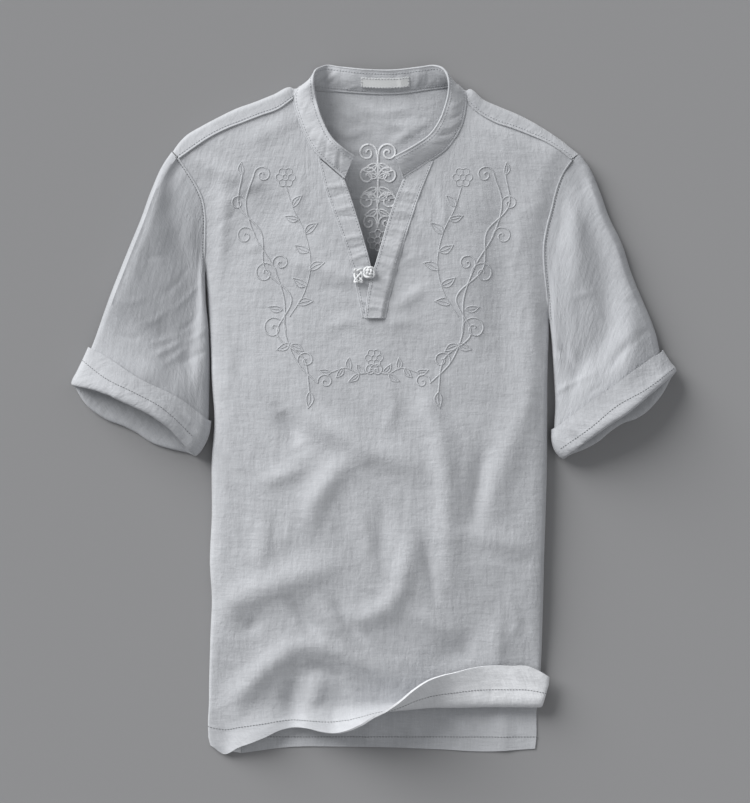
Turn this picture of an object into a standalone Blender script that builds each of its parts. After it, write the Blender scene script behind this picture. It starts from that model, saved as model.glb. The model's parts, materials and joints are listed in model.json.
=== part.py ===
# A linen shirt with a band collar, laid flat on its back on a surface.
# X runs across the shirt, Y from the hem to the collar, Z up from the surface.
# Sizes are in millimetres until the meshes are made, in metres, at the end.
import math

import bpy
import numpy as np

MM = 0.001

# Cloth
WALL = 1.4
BAND_WALL = 2.0
SEAM_GAP = 0.5
FLOOR = 0.75
STRIP = 35.0
SHOULDER_RADIUS = 5.5

# Collar, cord and label
COLLAR_HEIGHT = 26.5
CORD = 3.2
KNOT_WIDTH = 15.0
KNOT_HEIGHT = 9.0
LOOP_LENGTH = 17.0
LOOP_WIDTH = 8.0
LABEL_WIDTH = 54.0
LABEL_HEIGHT = 11.0
LABEL_WALL = 0.8

# Hem and turn-ups
HEM_TOP = -326.0
HEM_BEND = 16.0
TURN_RADIUS = 1.8

# The body from hem to shoulder: its outline, the radius of its side folds and its height at the middle
BODY_COLUMNS = ("y", "left", "right", "left_radius", "right_radius", "crown")
BODY = [
    (-385, -174.0, 184.0, 1.3, 1.6, 6.5),
    (-374, -182.0, 185.0, 1.3, 1.6, 6.6),
    (-360, -184.2, 186.0, 1.4, 1.8, 7.0),
    (-326, -183.4, 186.5, 2.2, 2.6, 8.0),
    (-300, -183.1, 186.0, 3.0, 4.0, 12.0),
    (-272, -182.2, 187.2, 4.5, 5.0, 16.0),
    (-243, -181.2, 188.0, 6.0, 6.5, 20.0),
    (-214, -179.8, 188.9, 7.0, 7.5, 23.0),
    (-170, -182.0, 189.8, 8.0, 8.0, 26.0),
    (-118, -179.8, 191.5, 8.5, 8.5, 27.5),
    (-54, -179.8, 193.2, 8.5, 8.5, 28.0),
    (-11, -176.9, 193.4, 8.5, 8.0, 28.0),
    (32, -179.8, 193.6, 8.0, 7.0, 28.0),
    (63, -180.9, 194.4, 7.0, 5.5, 27.5),
    (102, -183.4, 195.4, 5.5, 4.0, 27.0),
    (128, -185.1, 193.2, 4.5, 4.5, 26.5),
    (154.6, -187.2, 190.2, 4.0, 5.0, 26.0),
    (186, -187.6, 189.6, 4.5, 5.5, 25.0),
    (209, -186.9, 193.8, 5.0, 5.5, 24.0),
    (230, -188.7, 199.6, 5.5, 5.5, 23.0),
    (245, -194.3, 203.0, 5.5, 5.5, 22.0),
    (261, -203.7, 208.8, 5.5, 5.5, 21.0),
    (281, -217.0, 221.2, 5.5, 5.5, 19.5),
    (289, -223.7, 228.0, 5.5, 5.5, 18.5),
    (301, -214.5, 209.5, 5.5, 5.5, 17.5),
    (316, -193.0, 187.0, 5.5, 5.5, 15.5),
    (337, -152.0, 144.0, 5.5, 5.5, 13.5),
    (346, -126.0, 124.0, 5.5, 5.5, 12.5),
    (357, -98.6, 103.0, 5.5, 5.5, 12.0),
    (366, -80.3, 93.0, 5.5, 5.5, 12.0),
]

# The front's side seam rows, from the hem to the foot of each armhole and on to the shoulder
BODY_ROWS = [-326, -318, -306, -292, -277, -262, -247, -231, -215, -199, -183, -167, -151, -134]
BODY_ROWS += [-117, -100, -83, -66, -49, -32, -15, 2, 20, 40, 61, 82, 102]
LEFT_ARMHOLE_ROWS = [102, 128, 154.6, 175, 196, 216, 234, 250, 266, 281]
RIGHT_ARMHOLE_ROWS = [102, 122, 142, 162, 182, 203, 224, 244, 263, 280]
LEFT_UNDERARM_ROW = 2

# How far the front's hem is turned up, along the hem, and the length that turns
HEM_COLUMNS = ("x", "turn", "length")
HEM = [
    (-184, 0, 48),
    (-174, 0, 58),
    (-164, 0, 58.6),
    (-147, 35, 57),
    (-131, 45, 57),
    (-101, 58, 48),
    (-83, 60, 45),
    (-49, 55, 50),
    (-23, 65, 49),
    (1, 88, 52),
    (20, 101, 52),
    (37, 120, 54),
    (57, 140, 55),
    (88, 158, 55),
    (114, 168, 58),
    (156, 172, 58),
    (176, 172, 55),
    (187, 172, 45),
]

# The back's own hem, where it shows under the front's
BACK_HEM_COLUMNS = ("x", "y")
BACK_HEM = [
    (-150, -384.4),
    (-122, -381.0),
    (-96, -377.4),
    (-49, -376.8),
    (7, -377.4),
    (119, -381.9),
    (160, -383.6),
    (177, -383.2),
    (182, -378.0),
]

# Folds: the height of each (below zero for a trough), its half width and the line of its crest
FRONT_FOLDS = [
    (3.4, 11, (-81, -4), (-57, -17), (-25, -32), (-5, -46), (27, -55), (53, -68)),
    (3.8, 11, (-20, -55), (-41, -68), (-53, -84), (-65, -103), (-71, -129)),
    (2.6, 10, (-78, -62), (-95, -74), (-117, -84), (-154, -87)),
    (4.2, 10, (63, 31), (62, 4), (72, -28), (84, -60), (88, -92), (85, -129), (87, -170), (81, -199)),
    (-3.2, 8, (52, -124), (62, -153), (69, -179), (78, -208)),
    (4.6, 11, (43, -138), (40, -170), (33, -199), (15, -220), (-14, -233), (-31, -230)),
    (5.2, 12, (-46, -175), (-78, -183), (-107, -192), (-136, -204), (-165, -214), (-183, -217)),
    (6.0, 16, (-85, -247), (-104, -272), (-124, -292), (-143, -315), (-159, -342)),
    (3.0, 10, (-92, -250), (-66, -268), (-37, -276)),
    (3.0, 9, (-84, -215), (-69, -242), (-55, -263)),
    (-2.6, 8, (-49, -211), (-31, -237), (-5, -261)),
    (3.4, 10, (-57, -223), (-36, -253), (-11, -275), (30, -304)),
    (2.6, 9, (42, -224), (65, -237), (87, -250)),
    (3.6, 10, (-55, -301), (-59, -330), (-62, -357)),
    (-3.2, 9, (-84, -290), (-86, -325), (-90, -360)),
    (-2.2, 9, (-49, -296), (-31, -308), (-5, -308)),
    (-3.6, 9, (114, -118), (118, -83), (123, -48)),
    (3.6, 13, (135, -89), (143, -65), (155, -36), (170, 2)),
    (2.2, 12, (79, -138), (126, -143), (187, -157)),
    (-2.6, 12, (122, -240), (116, -281)),
    (-3.6, 9, (-88, 2), (-75, -25), (-69, -48)),
    (-1.6, 9, (-128, -232), (-142, -248)),
    (-2.8, 14, (44, -272), (74, -275), (103, -263)),
    (1.6, 14, (120, -170), (122, -205), (120, -228)),
    (1.6, 10, (-122, -124), (-123, -153), (-126, -176)),
    (3.2, 10, (-208, 279), (-177, 269), (-150, 257), (-131, 251)),
    (2.8, 10, (-164, 261), (-168, 221), (-173, 182), (-177, 132)),
    (2.2, 9, (-137, 302), (-114, 312), (-88, 325)),
    (2.2, 9, (109, 325), (132, 312), (162, 298)),
    (-3.2, 16, (-134, 251), (-108, 221), (-78, 198)),
    (1.5, 8, (-83, 254), (-86, 211)),
    (2.4, 10, (-91, 169), (-55, 154), (-19, 146)),
    (1.6, 7, (-49, 90), (-29, 100), (-9, 91)),
    (1.6, 7, (12, 95), (34, 100), (50, 91)),
    (4.0, 22, (199, 284), (196, 221), (192, 162), (191, 113), (185, 63), (181, 14)),
    (-2.2, 20, (144, 261), (139, 195), (139, 129), (147, 47)),
    (2.0, 8, (24, 114), (61, 137)),
]
LEFT_SLEEVE_FOLDS = [
    (-2.4, 8, (-217, 285), (-219, 247), (-218, 219), (-214, 188), (-208, 158), (-204, 125)),
    (3.4, 14, (-237, 259), (-250, 229), (-262, 193), (-275, 160), (-290, 125), (-304, 87)),
    (-2.6, 9, (-239, 165), (-237, 130)),
    (-2.2, 8, (-239, 94), (-236, 71)),
    (-2.2, 9, (-229, 60), (-217, 31)),
    (2.8, 9, (-260, 66), (-247, 49), (-234, 28)),
    (2.6, 8, (-204, 21), (-191, 33), (-181, 49)),
]
RIGHT_SLEEVE_FOLDS = [
    (4.2, 12, (216, 264), (224, 219), (222, 181), (211, 140)),
    (-4.2, 11, (219, 282), (234, 239), (240, 201), (243, 160), (247, 125), (246, 84)),
    (3.8, 14, (236, 287), (248, 252), (261, 219), (273, 181), (283, 150), (295, 115), (290, 74), (273, 33)),
    (2.6, 7, (222, 107), (225, 66), (219, 36), (216, 0)),
]

# The shoulder's fold line, from the armhole to the neck
LEFT_SHOULDER = [
    (-223.7, 288.6),
    (-214.5, 301.3),
    (-193.2, 315.8),
    (-178.6, 323.7),
    (-152.3, 336.6),
    (-126.0, 346.0),
    (-98.6, 357.3),
    (-91.5, 359.8),
]
RIGHT_SHOULDER = [
    (228.8, 285.5),
    (208.8, 301.3),
    (188.7, 314.7),
    (168.2, 326.3),
    (145.0, 336.5),
    (129.4, 342.7),
    (117.0, 350.0),
    (106.5, 358.0),
]

# The forward shoulder seam, from the armhole to the neck
LEFT_SEAM = [(-217.4, 281.5), (-175.3, 309.1), (-128.2, 328.2), (-95.0, 343.2), (-90.1, 348.0)]
RIGHT_SEAM = [(221.0, 280.4), (197.7, 296.8), (159.0, 313.6), (126.5, 325.8), (106.4, 341.8)]

# The neck from the left front end round the back to the right one: the seam, whether it lies on the
# top layer (1) or the bottom one (0), and the collar's free edge
NECK_COLUMNS = ("x", "y", "level", "edge_x", "edge_y")
NECK = [
    (-31.9, 258.2, 1.0, -21.8, 281.1),
    (-51.0, 275.0, 1.0, -36.4, 291.5),
    (-59.4, 282.5, 1.0, -43.5, 298.0),
    (-65.5, 289.0, 1.0, -48.7, 304.6),
    (-76.7, 308.4, 1.0, -56.6, 320.3),
    (-84.6, 329.3, 1.0, -62.2, 336.5),
    (-87.9, 340.5, 1.0, -64.6, 346.0),
    (-87.6, 348.0, 1.0, -66.0, 354.5),
    (-85.7, 355.5, 0.97, -67.0, 362.0),
    (-80.8, 361.6, 0.50, -67.0, 369.0),
    (-73.4, 361.4, 0.10, -65.0, 376.5),
    (-64.4, 358.6, 0.0, -57.5, 383.0),
    (-38.6, 356.7, 0.0, -36.4, 382.7),
    (-14.0, 355.0, 0.0, -14.0, 379.9),
    (7.3, 353.9, 0.0, 7.3, 378.8),
    (35.3, 355.0, 0.0, 31.9, 379.7),
    (53.2, 357.6, 0.0, 52.0, 382.0),
    (77.5, 360.8, 0.0, 71.5, 383.0),
    (88.0, 362.6, 0.10, 79.5, 378.6),
    (96.0, 361.0, 0.50, 83.0, 370.0),
    (101.6, 353.5, 0.97, 84.0, 361.5),
    (103.0, 344.0, 1.0, 83.6, 353.0),
    (102.6, 338.5, 1.0, 82.6, 347.0),
    (100.6, 327.0, 1.0, 79.6, 336.5),
    (96.4, 314.0, 1.0, 75.4, 325.0),
    (90.8, 303.5, 1.0, 70.0, 315.0),
    (80.0, 290.0, 1.0, 61.6, 304.5),
    (64.4, 278.9, 1.0, 50.0, 296.0),
    (52.1, 271.0, 1.0, 40.0, 290.0),
    (33.0, 258.7, 1.0, 24.1, 281.6),
]
LEFT_BAND_CORNER, LEFT_NECK_CORNER, RIGHT_NECK_CORNER, RIGHT_BAND_CORNER = 2, 7, 21, 27

# The two bands of the neck slit: the outer line, sewn to the front, and the inner edge, top to bottom
BAND_COLUMNS = ("outer_x", "inner_x", "y")
LEFT_BAND = [
    (-51.0, -27.0, 240.0),
    (-42.0, -19.0, 215.0),
    (-33.0, -11.5, 190.0),
    (-24.5, -4.2, 163.0),
    (-19.5, 0.0, 140.0),
    (-15.5, 4.0, 120.0),
    (-11.9, 7.3, 102.5),
]
RIGHT_BAND = [
    (51.0, 27.0, 240.0),
    (42.5, 18.5, 215.0),
    (34.5, 11.0, 190.0),
    (27.5, 3.8, 165.0),
    (22.5, -2.5, 145.0),
    (16.5, -7.0, 122.0),
    (12.8, -9.1, 102.5),
]
SLIT_LEFT, SLIT_RIGHT = -12.4, 13.3
BAND_LAP = 3.2

# Each sleeve's folded edges, from armhole to cuff, then its mouth on the top layer and on the bottom one
LEFT_SLEEVE_OUTER = [
    (-224.6, 288.3),
    (-232.0, 278.0),
    (-244.7, 252.0),
    (-254.8, 224.0),
    (-272.7, 180.3),
    (-292.9, 129.9),
    (-311.5, 76.0),
    (-333.5, 29.0),
]
LEFT_SLEEVE_INNER = [
    (-189.0, 154.6),
    (-188.2, 122.0),
    (-184.9, 93.0),
    (-183.6, 62.0),
    (-183.9, 32.0),
    (-184.5, 5.0),
    (-185.5, -18.0),
    (-189.0, -34.0),
    (-200.0, -48.0),
]
LEFT_MOUTH_TOP = [
    (-333.5, 29.0),
    (-297.0, 20.0),
    (-274.0, 9.5),
    (-251.0, -1.0),
    (-232.0, -13.0),
    (-200.0, -48.0),
]
LEFT_MOUTH_BOTTOM = [
    (-333.5, 29.0),
    (-322.0, 10.0),
    (-299.0, -8.0),
    (-271.0, -19.0),
    (-250.0, -33.0),
    (-200.0, -48.0),
]
RIGHT_SLEEVE_OUTER = [
    (229.9, 285.0),
    (240.0, 271.0),
    (253.7, 240.8),
    (260.0, 222.0),
    (276.1, 188.2),
    (290.6, 144.5),
    (306.3, 108.0),
    (316.0, 80.0),
    (320.0, 64.0),
    (334.5, 43.0),
]
RIGHT_SLEEVE_INNER = [
    (197.4, 101.9),
    (200.4, 75.0),
    (202.0, 48.0),
    (203.6, 20.0),
    (203.6, -4.0),
    (202.4, -26.0),
    (204.0, -42.0),
    (213.0, -51.0),
]
RIGHT_MOUTH_TOP = [
    (334.5, 43.0),
    (306.0, 19.5),
    (280.6, -2.0),
    (260.0, -15.0),
    (240.0, -30.0),
    (213.0, -51.0),
]
RIGHT_MOUTH_BOTTOM = [
    (334.5, 43.0),
    (318.0, 14.5),
    (298.0, -5.0),
    (274.0, -15.0),
    (245.0, -37.0),
    (213.0, -51.0),
]

# A sleeve from armhole to cuff: the height of its middle and the radius of its two folded edges
SLEEVE_COLUMNS = ("along", "crown", "outer_radius", "inner_radius")
SLEEVE = [
    (0.00, 5.0, 5.5, 4.0),
    (0.20, 12.0, 5.0, 4.0),
    (0.50, 14.4, 4.5, 4.0),
    (0.75, 13.8, 4.5, 4.0),
    (0.90, 15.0, 4.5, 4.2),
    (1.00, 19.0, 4.5, 4.5),
]
# The share of that height across a sleeve, from its outer edge to its inner one, away from its mouth
SECTION_COLUMNS = ("across", "left", "right")
SECTION = [
    (0.0, 0.0, 0.0),
    (0.06, 0.70, 0.42),
    (0.15, 1.00, 0.80),
    (0.28, 0.96, 1.00),
    (0.42, 0.74, 0.80),
    (0.56, 0.60, 0.46),
    (0.70, 0.52, 0.36),
    (0.82, 0.58, 0.46),
    (0.92, 0.56, 0.38),
    (1.0, 0.0, 0.0),
]
SLEEVE_STATIONS = [0, 0.07, 0.17, 0.29, 0.42, 0.54, 0.65, 0.75, 0.83, 0.9, 0.96, 1.0]
TURN_UP_COLUMNS = ("across", "left", "right")
TURN_UP = [(0.0, 44, 27), (0.35, 30, 32), (0.7, 31, 32), (1.0, 40, 33)]

COLOURS = {
    "linen": (0.66, 0.68, 0.70, 1.0),
    "linen_band": (0.68, 0.70, 0.72, 1.0),
    "cord": (0.75, 0.76, 0.76, 1.0),
    "label": (0.82, 0.82, 0.80, 1.0),
}


def clear_scene():
    for item in list(bpy.data.objects):
        bpy.data.objects.remove(item, do_unlink=True)


def smooth_through(knots, values, at):
    # A cubic through the knots, with its slope at each one taken from its neighbours
    knots = np.asarray(knots, float)
    values = np.asarray(values, float)
    steps = np.diff(knots)
    slopes = np.diff(values, axis=0) / (steps if values.ndim == 1 else steps[:, None])
    tangents = np.empty_like(values)
    tangents[0], tangents[-1] = slopes[0], slopes[-1]
    for k in range(1, len(knots) - 1):
        before, after = steps[k - 1], steps[k]
        tangents[k] = (slopes[k - 1] * after + slopes[k] * before) / (before + after)
    at = np.clip(np.asarray(at, float), knots[0], knots[-1])
    k = np.clip(np.searchsorted(knots, at, side="right") - 1, 0, len(steps) - 1)
    h = steps[k]
    t = (at - knots[k]) / h
    if values.ndim > 1:
        h, t = h[..., None], t[..., None]
    start = values[k] * (2 * t**3 - 3 * t**2 + 1) + tangents[k] * h * (t**3 - 2 * t**2 + t)
    return start + values[k + 1] * (3 * t**2 - 2 * t**3) + tangents[k + 1] * h * (t**3 - t**2)


def column(rows, columns, key, wanted, at):
    table = np.array(rows, float)
    knots, values = table[:, columns.index(key)], table[:, columns.index(wanted)]
    order = np.argsort(knots)
    return smooth_through(knots[order], values[order], at)


def body(wanted, y):
    return column(BODY, BODY_COLUMNS, "y", wanted, y)


def lengths_along(points):
    steps = np.linalg.norm(np.diff(np.asarray(points, float)[:, :2], axis=0), axis=1)
    return np.concatenate([[0.0], np.cumsum(steps)])


def curve(points, at):
    # A smooth curve through the points, read at shares of its length
    points = np.asarray(points, float)
    reach = lengths_along(points)
    return smooth_through(reach / reach[-1], points, np.asarray(at, float))


def ease(value):
    value = np.clip(value, 0.0, 1.0)
    return value * value * (3 - 2 * value)


def fold_height(folds, x, y):
    x, y = np.broadcast_arrays(np.asarray(x, float), np.asarray(y, float))
    total = np.zeros(x.shape)
    for height, width, *line in folds:
        nearest = np.full(x.shape, 1e9)
        place = np.zeros(x.shape)
        done = 0.0
        for (x0, y0), (x1, y1) in zip(line, line[1:]):
            dx, dy = x1 - x0, y1 - y0
            length = math.hypot(dx, dy)
            share = np.clip(((x - x0) * dx + (y - y0) * dy) / length**2, 0, 1)
            away = (x - x0 - share * dx) ** 2 + (y - y0 - share * dy) ** 2
            place = np.where(away < nearest, done + share * length, place)
            nearest = np.minimum(away, nearest)
            done += length
        fade = np.sin(math.pi * (0.05 + 0.9 * place / done)) ** 0.6
        total = total + height * fade * np.exp(-nearest / width**2)
    return total


def front_height(x, y):
    # The height of the front's cloth over the surface, at any place on it
    x, y = np.asarray(x, float), np.asarray(y, float)
    left, right = body("left", y), body("right", y)
    share = np.clip((x - left) / (right - left), 0, 1)
    edge = FLOOR + 2 * (body("left_radius", y) * (1 - share) + body("right_radius", y) * share)
    dome = 1 - np.abs(2 * share - 1) ** 2.6
    inside = ease(np.minimum(x - left, right - x) / 26)
    rise = fold_height(FRONT_FOLDS, x, y) * inside
    return edge + (body("crown", y) - edge) * dome + rise


def patch(bottom, top, left, right):
    # A grid between four edges, each a row of points; rows run from bottom to top
    bottom, top, left, right = (np.asarray(e, float) for e in (bottom, top, left, right))
    shares = [lengths_along(edge) / lengths_along(edge)[-1] for edge in (bottom, top, left, right)]
    u = ((shares[0] + shares[1]) / 2)[None, :, None]
    v = ((shares[2] + shares[3]) / 2)[:, None, None]
    sides = (1 - v) * bottom[None] + v * top[None] + (1 - u) * left[:, None] + u * right[:, None]
    low_corners = (1 - u) * (1 - v) * bottom[0] + u * (1 - v) * bottom[-1]
    high_corners = (1 - u) * v * top[0] + u * v * top[-1]
    return sides - low_corners - high_corners


def grid_normals(points, present, ring):
    total = np.zeros_like(points)
    rows, columns = present.shape
    for i in range(rows):
        for j in range(columns):
            if not present[i, j]:
                continue
            k = (j + 1) % points.shape[1] if ring else j + 1
            a, b, c, d = points[i, j], points[i, k], points[i + 1, k], points[i + 1, j]
            face = np.cross(c - a, d - b)
            for place in ((i, j), (i, k), (i + 1, k), (i + 1, j)):
                total[place] += face
    size = np.linalg.norm(total, axis=2, keepdims=True)
    return total / np.where(size > 1e-9, size, 1.0)


def material(name, colour):
    made = bpy.data.materials.new(name)
    made.use_nodes = True
    shader = made.node_tree.nodes["Principled BSDF"]
    shader.inputs["Base Color"].default_value = colour
    shader.inputs["Roughness"].default_value = 0.85
    made.diffuse_color = colour
    return made


def add_object(name, vertices, faces, colour):
    mesh = bpy.data.meshes.new(name)
    mesh.from_pydata([tuple(float(c) * MM for c in v) for v in vertices], [], faces)
    mesh.update()
    mesh.materials.append(material(name + "_cloth", COLOURS[colour]))
    made = bpy.data.objects.new(name, mesh)
    bpy.context.scene.collection.objects.link(made)
    return made


def shell(name, points, wall, colour, present=None, ring=False):
    # A wall of cloth round a grid of points: both faces, and a rim wherever the grid ends
    points = np.asarray(points, float)
    rows, columns = points.shape[:2]
    if present is None:
        present = np.ones((rows - 1, columns if ring else columns - 1), bool)
    normals = grid_normals(points, present, ring)
    vertices, index = [], {}

    def corner(i, j, side):
        key = (i, j, side)
        if key not in index:
            index[key] = len(vertices)
            place = points[i, j] + normals[i, j] * wall / 2 * side
            place[2] = max(place[2], FLOOR - WALL / 2)
            vertices.append(place)
        return index[key]

    faces, rims = [], {}
    for i in range(rows - 1):
        for j in range(present.shape[1]):
            if not present[i, j]:
                continue
            k = (j + 1) % columns if ring else j + 1
            loop = [(i, j), (i, k), (i + 1, k), (i + 1, j)]
            faces.append([corner(a, b, 1) for a, b in loop])
            faces.append([corner(a, b, -1) for a, b in reversed(loop)])
            for start, end in zip(loop, loop[1:] + loop[:1]):
                if (end, start) in rims:
                    del rims[(end, start)]
                else:
                    rims[(start, end)] = True
    for start, end in rims:
        faces.append([corner(*end, 1), corner(*start, 1), corner(*start, -1), corner(*end, -1)])
    return add_object(name, vertices, faces, colour)


def seam_points(side):
    # Where the front meets the yoke, from armhole to neck; the first two steps match the folded edge
    seam = LEFT_SEAM if side == "left" else RIGHT_SEAM
    length = lengths_along(seam)[-1]
    shares = [0, 1.6 / length, 5.5 / length] + [k / 7 for k in range(1, 8)]
    flat = curve(seam, shares)
    return np.column_stack([flat, front_height(flat[:, 0], flat[:, 1])])


def neck_points():
    table = np.array(NECK, float)
    x, y, level = table[:, 0], table[:, 1], table[:, 2]
    high = front_height(x, y)
    z = FLOOR + 0.6 + level * (high - FLOOR - 0.6)
    return np.column_stack([x, y, z])


def outward(points, by):
    # The neck's points moved away from the collar, along the panels
    table = np.array(NECK, float)
    away = points[:, :2] - table[:, 3:5]
    away /= np.linalg.norm(away, axis=1, keepdims=True)
    steep = (table[:, 2] > 0.3) & (table[:, 2] < 0.99)
    moved = points.copy()
    moved[:, :2] += away * (by + 1.1 * steep)[:, None]
    return moved


def side_columns(side, y, turned, lap):
    # The front's cloth round its side: the strip under, then up the fold, from the inside edge outwards
    edge, radius = body(side, y), body(side + "_radius", y)
    sign = 1 if side == "left" else -1
    points = [(edge + sign * lap, y, FLOOR)]
    for degrees in (-90, -45, 0, 45, 90):
        angle = math.radians(degrees)
        round_z = FLOOR + radius * (1 + math.sin(angle))
        flat_z = FLOOR + 2 * radius
        z = turned * round_z + (1 - turned) * flat_z
        points.append((edge + sign * radius * (1 - math.cos(angle)), y, z))
    return points


def turned_share(side, y):
    foot = 154.6 if side == "left" else 102.0
    return float(1 - ease((y - foot) / 18))


def front_panel():
    inner = 11
    middle = [SLIT_LEFT, (SLIT_LEFT + SLIT_RIGHT) / 2, SLIT_RIGHT]

    def level_row(y):
        left = side_columns("left", y, 1.0, STRIP)
        right = side_columns("right", y, 1.0, STRIP)[::-1]
        xs = np.linspace(left[-1][0], SLIT_LEFT, inner + 1)[1:-1].tolist() + middle
        xs += np.linspace(SLIT_RIGHT, right[0][0], inner + 1)[1:-1].tolist()
        between = [(x, y, float(front_height(x, y))) for x in xs]
        return left + between + right

    flap = hem_rows(level_row(HEM_TOP))
    lower = [level_row(y) for y in BODY_ROWS]
    neck = outward(neck_points(), SEAM_GAP + 1.9)
    upper = []
    for side in ("left", "right"):
        rows = LEFT_ARMHOLE_ROWS if side == "left" else RIGHT_ARMHOLE_ROWS
        foot = lower[-1][3:17] if side == "left" else lower[-1][18:32][::-1]
        if side == "left":
            collar = neck[LEFT_BAND_CORNER : LEFT_NECK_CORNER][::-1]
            slit = [(SLIT_LEFT, 102), (-20.0, 140), (-33.5, 190), (-51.5, 240), tuple(collar[-1][:2])]
        else:
            collar = neck[RIGHT_NECK_CORNER + 1 : RIGHT_BAND_CORNER + 1]
            slit = [(SLIT_RIGHT, 102), (23.0, 145), (35.0, 190), (51.5, 240), tuple(collar[-1][:2])]
        seam = seam_points(side)[:, :2]
        shares = np.linspace(0, 1, 5)[1:]
        top = np.vstack([seam, curve(np.vstack([seam[-1], collar[:, :2]]), shares)])
        outline = [(body(side, y), y) for y in rows[:-1]] + [tuple(seam[0])]
        inside = curve(slit, np.linspace(0, 1, len(rows)))
        flat = patch([p[:2] for p in foot], top, outline, inside)
        grid = np.dstack([flat, front_height(flat[..., 0], flat[..., 1])])
        for i, y in enumerate(rows):
            turned = turned_share(side, y)
            fold = side_columns(side, y, turned, STRIP)
            for j in range(2):
                grid[i, j, 2] = turned * fold[3 + j][2] + (1 - turned) * grid[i, j, 2]
        grid[0, :, 2] = [p[2] for p in foot]
        under = [side_columns(side, y, 1.0, STRIP)[:3] for y in rows]
        upper.append(np.concatenate([np.array(under), grid], axis=1))
    middle_rows = []
    for i in range(1, len(LEFT_ARMHOLE_ROWS)):
        spare = np.array([[(SLIT_LEFT + SLIT_RIGHT) / 2, 102.0 + i, 20.0]])
        middle_rows.append(np.vstack([upper[0][i], spare, upper[1][i][::-1]]))
    points = np.array(flap + lower + middle_rows)
    present = np.ones((points.shape[0] - 1, points.shape[1] - 1), bool)
    flap_count, lower_count = len(flap), len(flap) + len(lower)
    present[:flap_count, 31:] = False
    present[lower_count - 1 :, 16:18] = False
    present[lower_count - 1 + LEFT_UNDERARM_ROW :, :3] = False
    present[lower_count - 1 :, 31:] = False
    return points, present


def hem_rows(first):
    # The lowest stretch of the front, from its hem up to where it starts to turn
    xs = np.array([p[0] for p in first])
    turn = np.radians(np.maximum(column(HEM, HEM_COLUMNS, "x", "turn", xs), 0))
    length = column(HEM, HEM_COLUMNS, "x", "length", xs)
    turn[:3] = 0
    length[:3] = (58.0, 51.0, 49.0)
    shares = [1.0, 0.72, 0.45, 0.0]
    rows = []
    distances = [lambda n, s=s: HEM_BEND + (n - HEM_BEND) * s for s in shares]
    distances += [lambda n, s=s: HEM_BEND * s for s in (0.75, 0.5, 0.25)]
    for distance in distances:
        row = []
        for j, (x, y, z) in enumerate(first):
            reach = distance(length[j])
            bent = min(reach, HEM_BEND)
            if turn[j] < 0.02:
                down, up = reach, 0.0
            else:
                radius = HEM_BEND / turn[j]
                down = radius * math.sin(bent / radius) + (reach - bent) * math.cos(turn[j])
                up = radius * (1 - math.cos(bent / radius)) + (reach - bent) * math.sin(turn[j])
            flat_y = y - reach
            sides = 3 <= j <= 31
            if j < 6:
                low = side_columns("left", flat_y, 1.0, STRIP)[j]
                place = (low[0] if j else x, y - down, low[2] + up)
            else:
                steady = min(1.0, turn[j] / 0.7)
                low = z * steady + (1 - steady) * float(front_height(x, flat_y))
                flare = 9 * ease((x - 150) / 40) * ease(reach / length[j]) if sides else 0
                place = (x + flare, y - down, low + up)
            row.append(place)
        rows.append(row)
    return rows


def back_panel():
    # The back lies flat between the front's two strips, and its hem shows below
    hem_y = [-366.0, -350.0, -338.0, -329.0, -327.2]
    ys = hem_y + [y for y in BODY_ROWS if y > -325]
    left_rows, right_rows = [], []
    for y in ys:
        left_rows.append((body("left", max(y, HEM_TOP)) + STRIP + SEAM_GAP, y))
        if y < -328:
            right_rows.append((182.4, y))
        else:
            right_rows.append((body("right", y) - STRIP - SEAM_GAP, y))
    left_rows.append((body("left", 128) + STRIP + SEAM_GAP, 128))
    left_rows.append((body("left", 154.6) + STRIP + SEAM_GAP, 155.6))
    left_rows += [(-187.4, 159.0), (-190.5, 176.0), (-192.5, 196.0), (-195.5, 216.0), (-199.5, 236.4)]
    right_rows[-1] = (body("right", 102) - STRIP - SEAM_GAP, 103.0)
    right_rows += [(194.6, 106.6), (192.2, 130.0), (190.5, 155.0), (191.0, 178.0)]
    right_rows += [(194.5, 198.0), (198.5, 217.0), (203.6, 236.4)]
    columns = 6
    rows = []
    for left, right in zip(left_rows, right_rows):
        share = np.linspace(0, 1, columns + 1)[:, None]
        flat = np.array(left) * (1 - share) + np.array(right) * share
        rows.append(np.column_stack([flat, np.full(columns + 1, FLOOR)]))
    first = rows[0]
    hem = first.copy()
    hem[:, 0] = np.linspace(left_rows[0][0], 181.0, columns + 1)
    hem[:, 1] = column(BACK_HEM, BACK_HEM_COLUMNS, "x", "y", hem[:, 0])
    return np.array([hem] + rows)


def yoke_panel():
    # Flat behind the neck, round the fold of each shoulder, and down to the seam on the front
    neck = outward(neck_points(), SEAM_GAP + 1.9)
    table = np.array(NECK, float)
    ends, folds, levels = [], [], []
    for side in ("left", "right"):
        seam = seam_points(side)
        line = LEFT_SHOULDER if side == "left" else RIGHT_SHOULDER
        reach = lengths_along(seam[:, :2])
        fold = curve(line, reach / reach[-1])
        toward = fold - seam[:, :2]
        toward /= np.linalg.norm(toward, axis=1, keepdims=True)
        seam[:, :2] += toward * (SEAM_GAP + 0.4)
        order = slice(None) if side == "left" else slice(None, None, -1)
        ends.append(seam[order])
        folds.append(fold[order])
        levels.append(np.ones(len(seam)))
    between = slice(LEFT_NECK_CORNER + 1, RIGHT_NECK_CORNER)
    ends.insert(1, neck[between])
    folds.insert(1, np.full((len(neck[between]), 2), np.nan))
    levels.insert(1, table[between, 2])
    end, fold, level = np.vstack(ends), np.vstack(folds), np.concatenate(levels)
    count = len(end)
    base_x = np.interp(end[:, 0], [end[0, 0], end[-1, 0]], [-199.5, 203.6])
    base = np.column_stack([base_x, np.full(count, 237.4)])
    grid = np.zeros((12, count, 3))
    for j in range(count):
        grid[:, j] = yoke_line(base[j], fold[j], end[j], level[j])
    return grid


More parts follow.
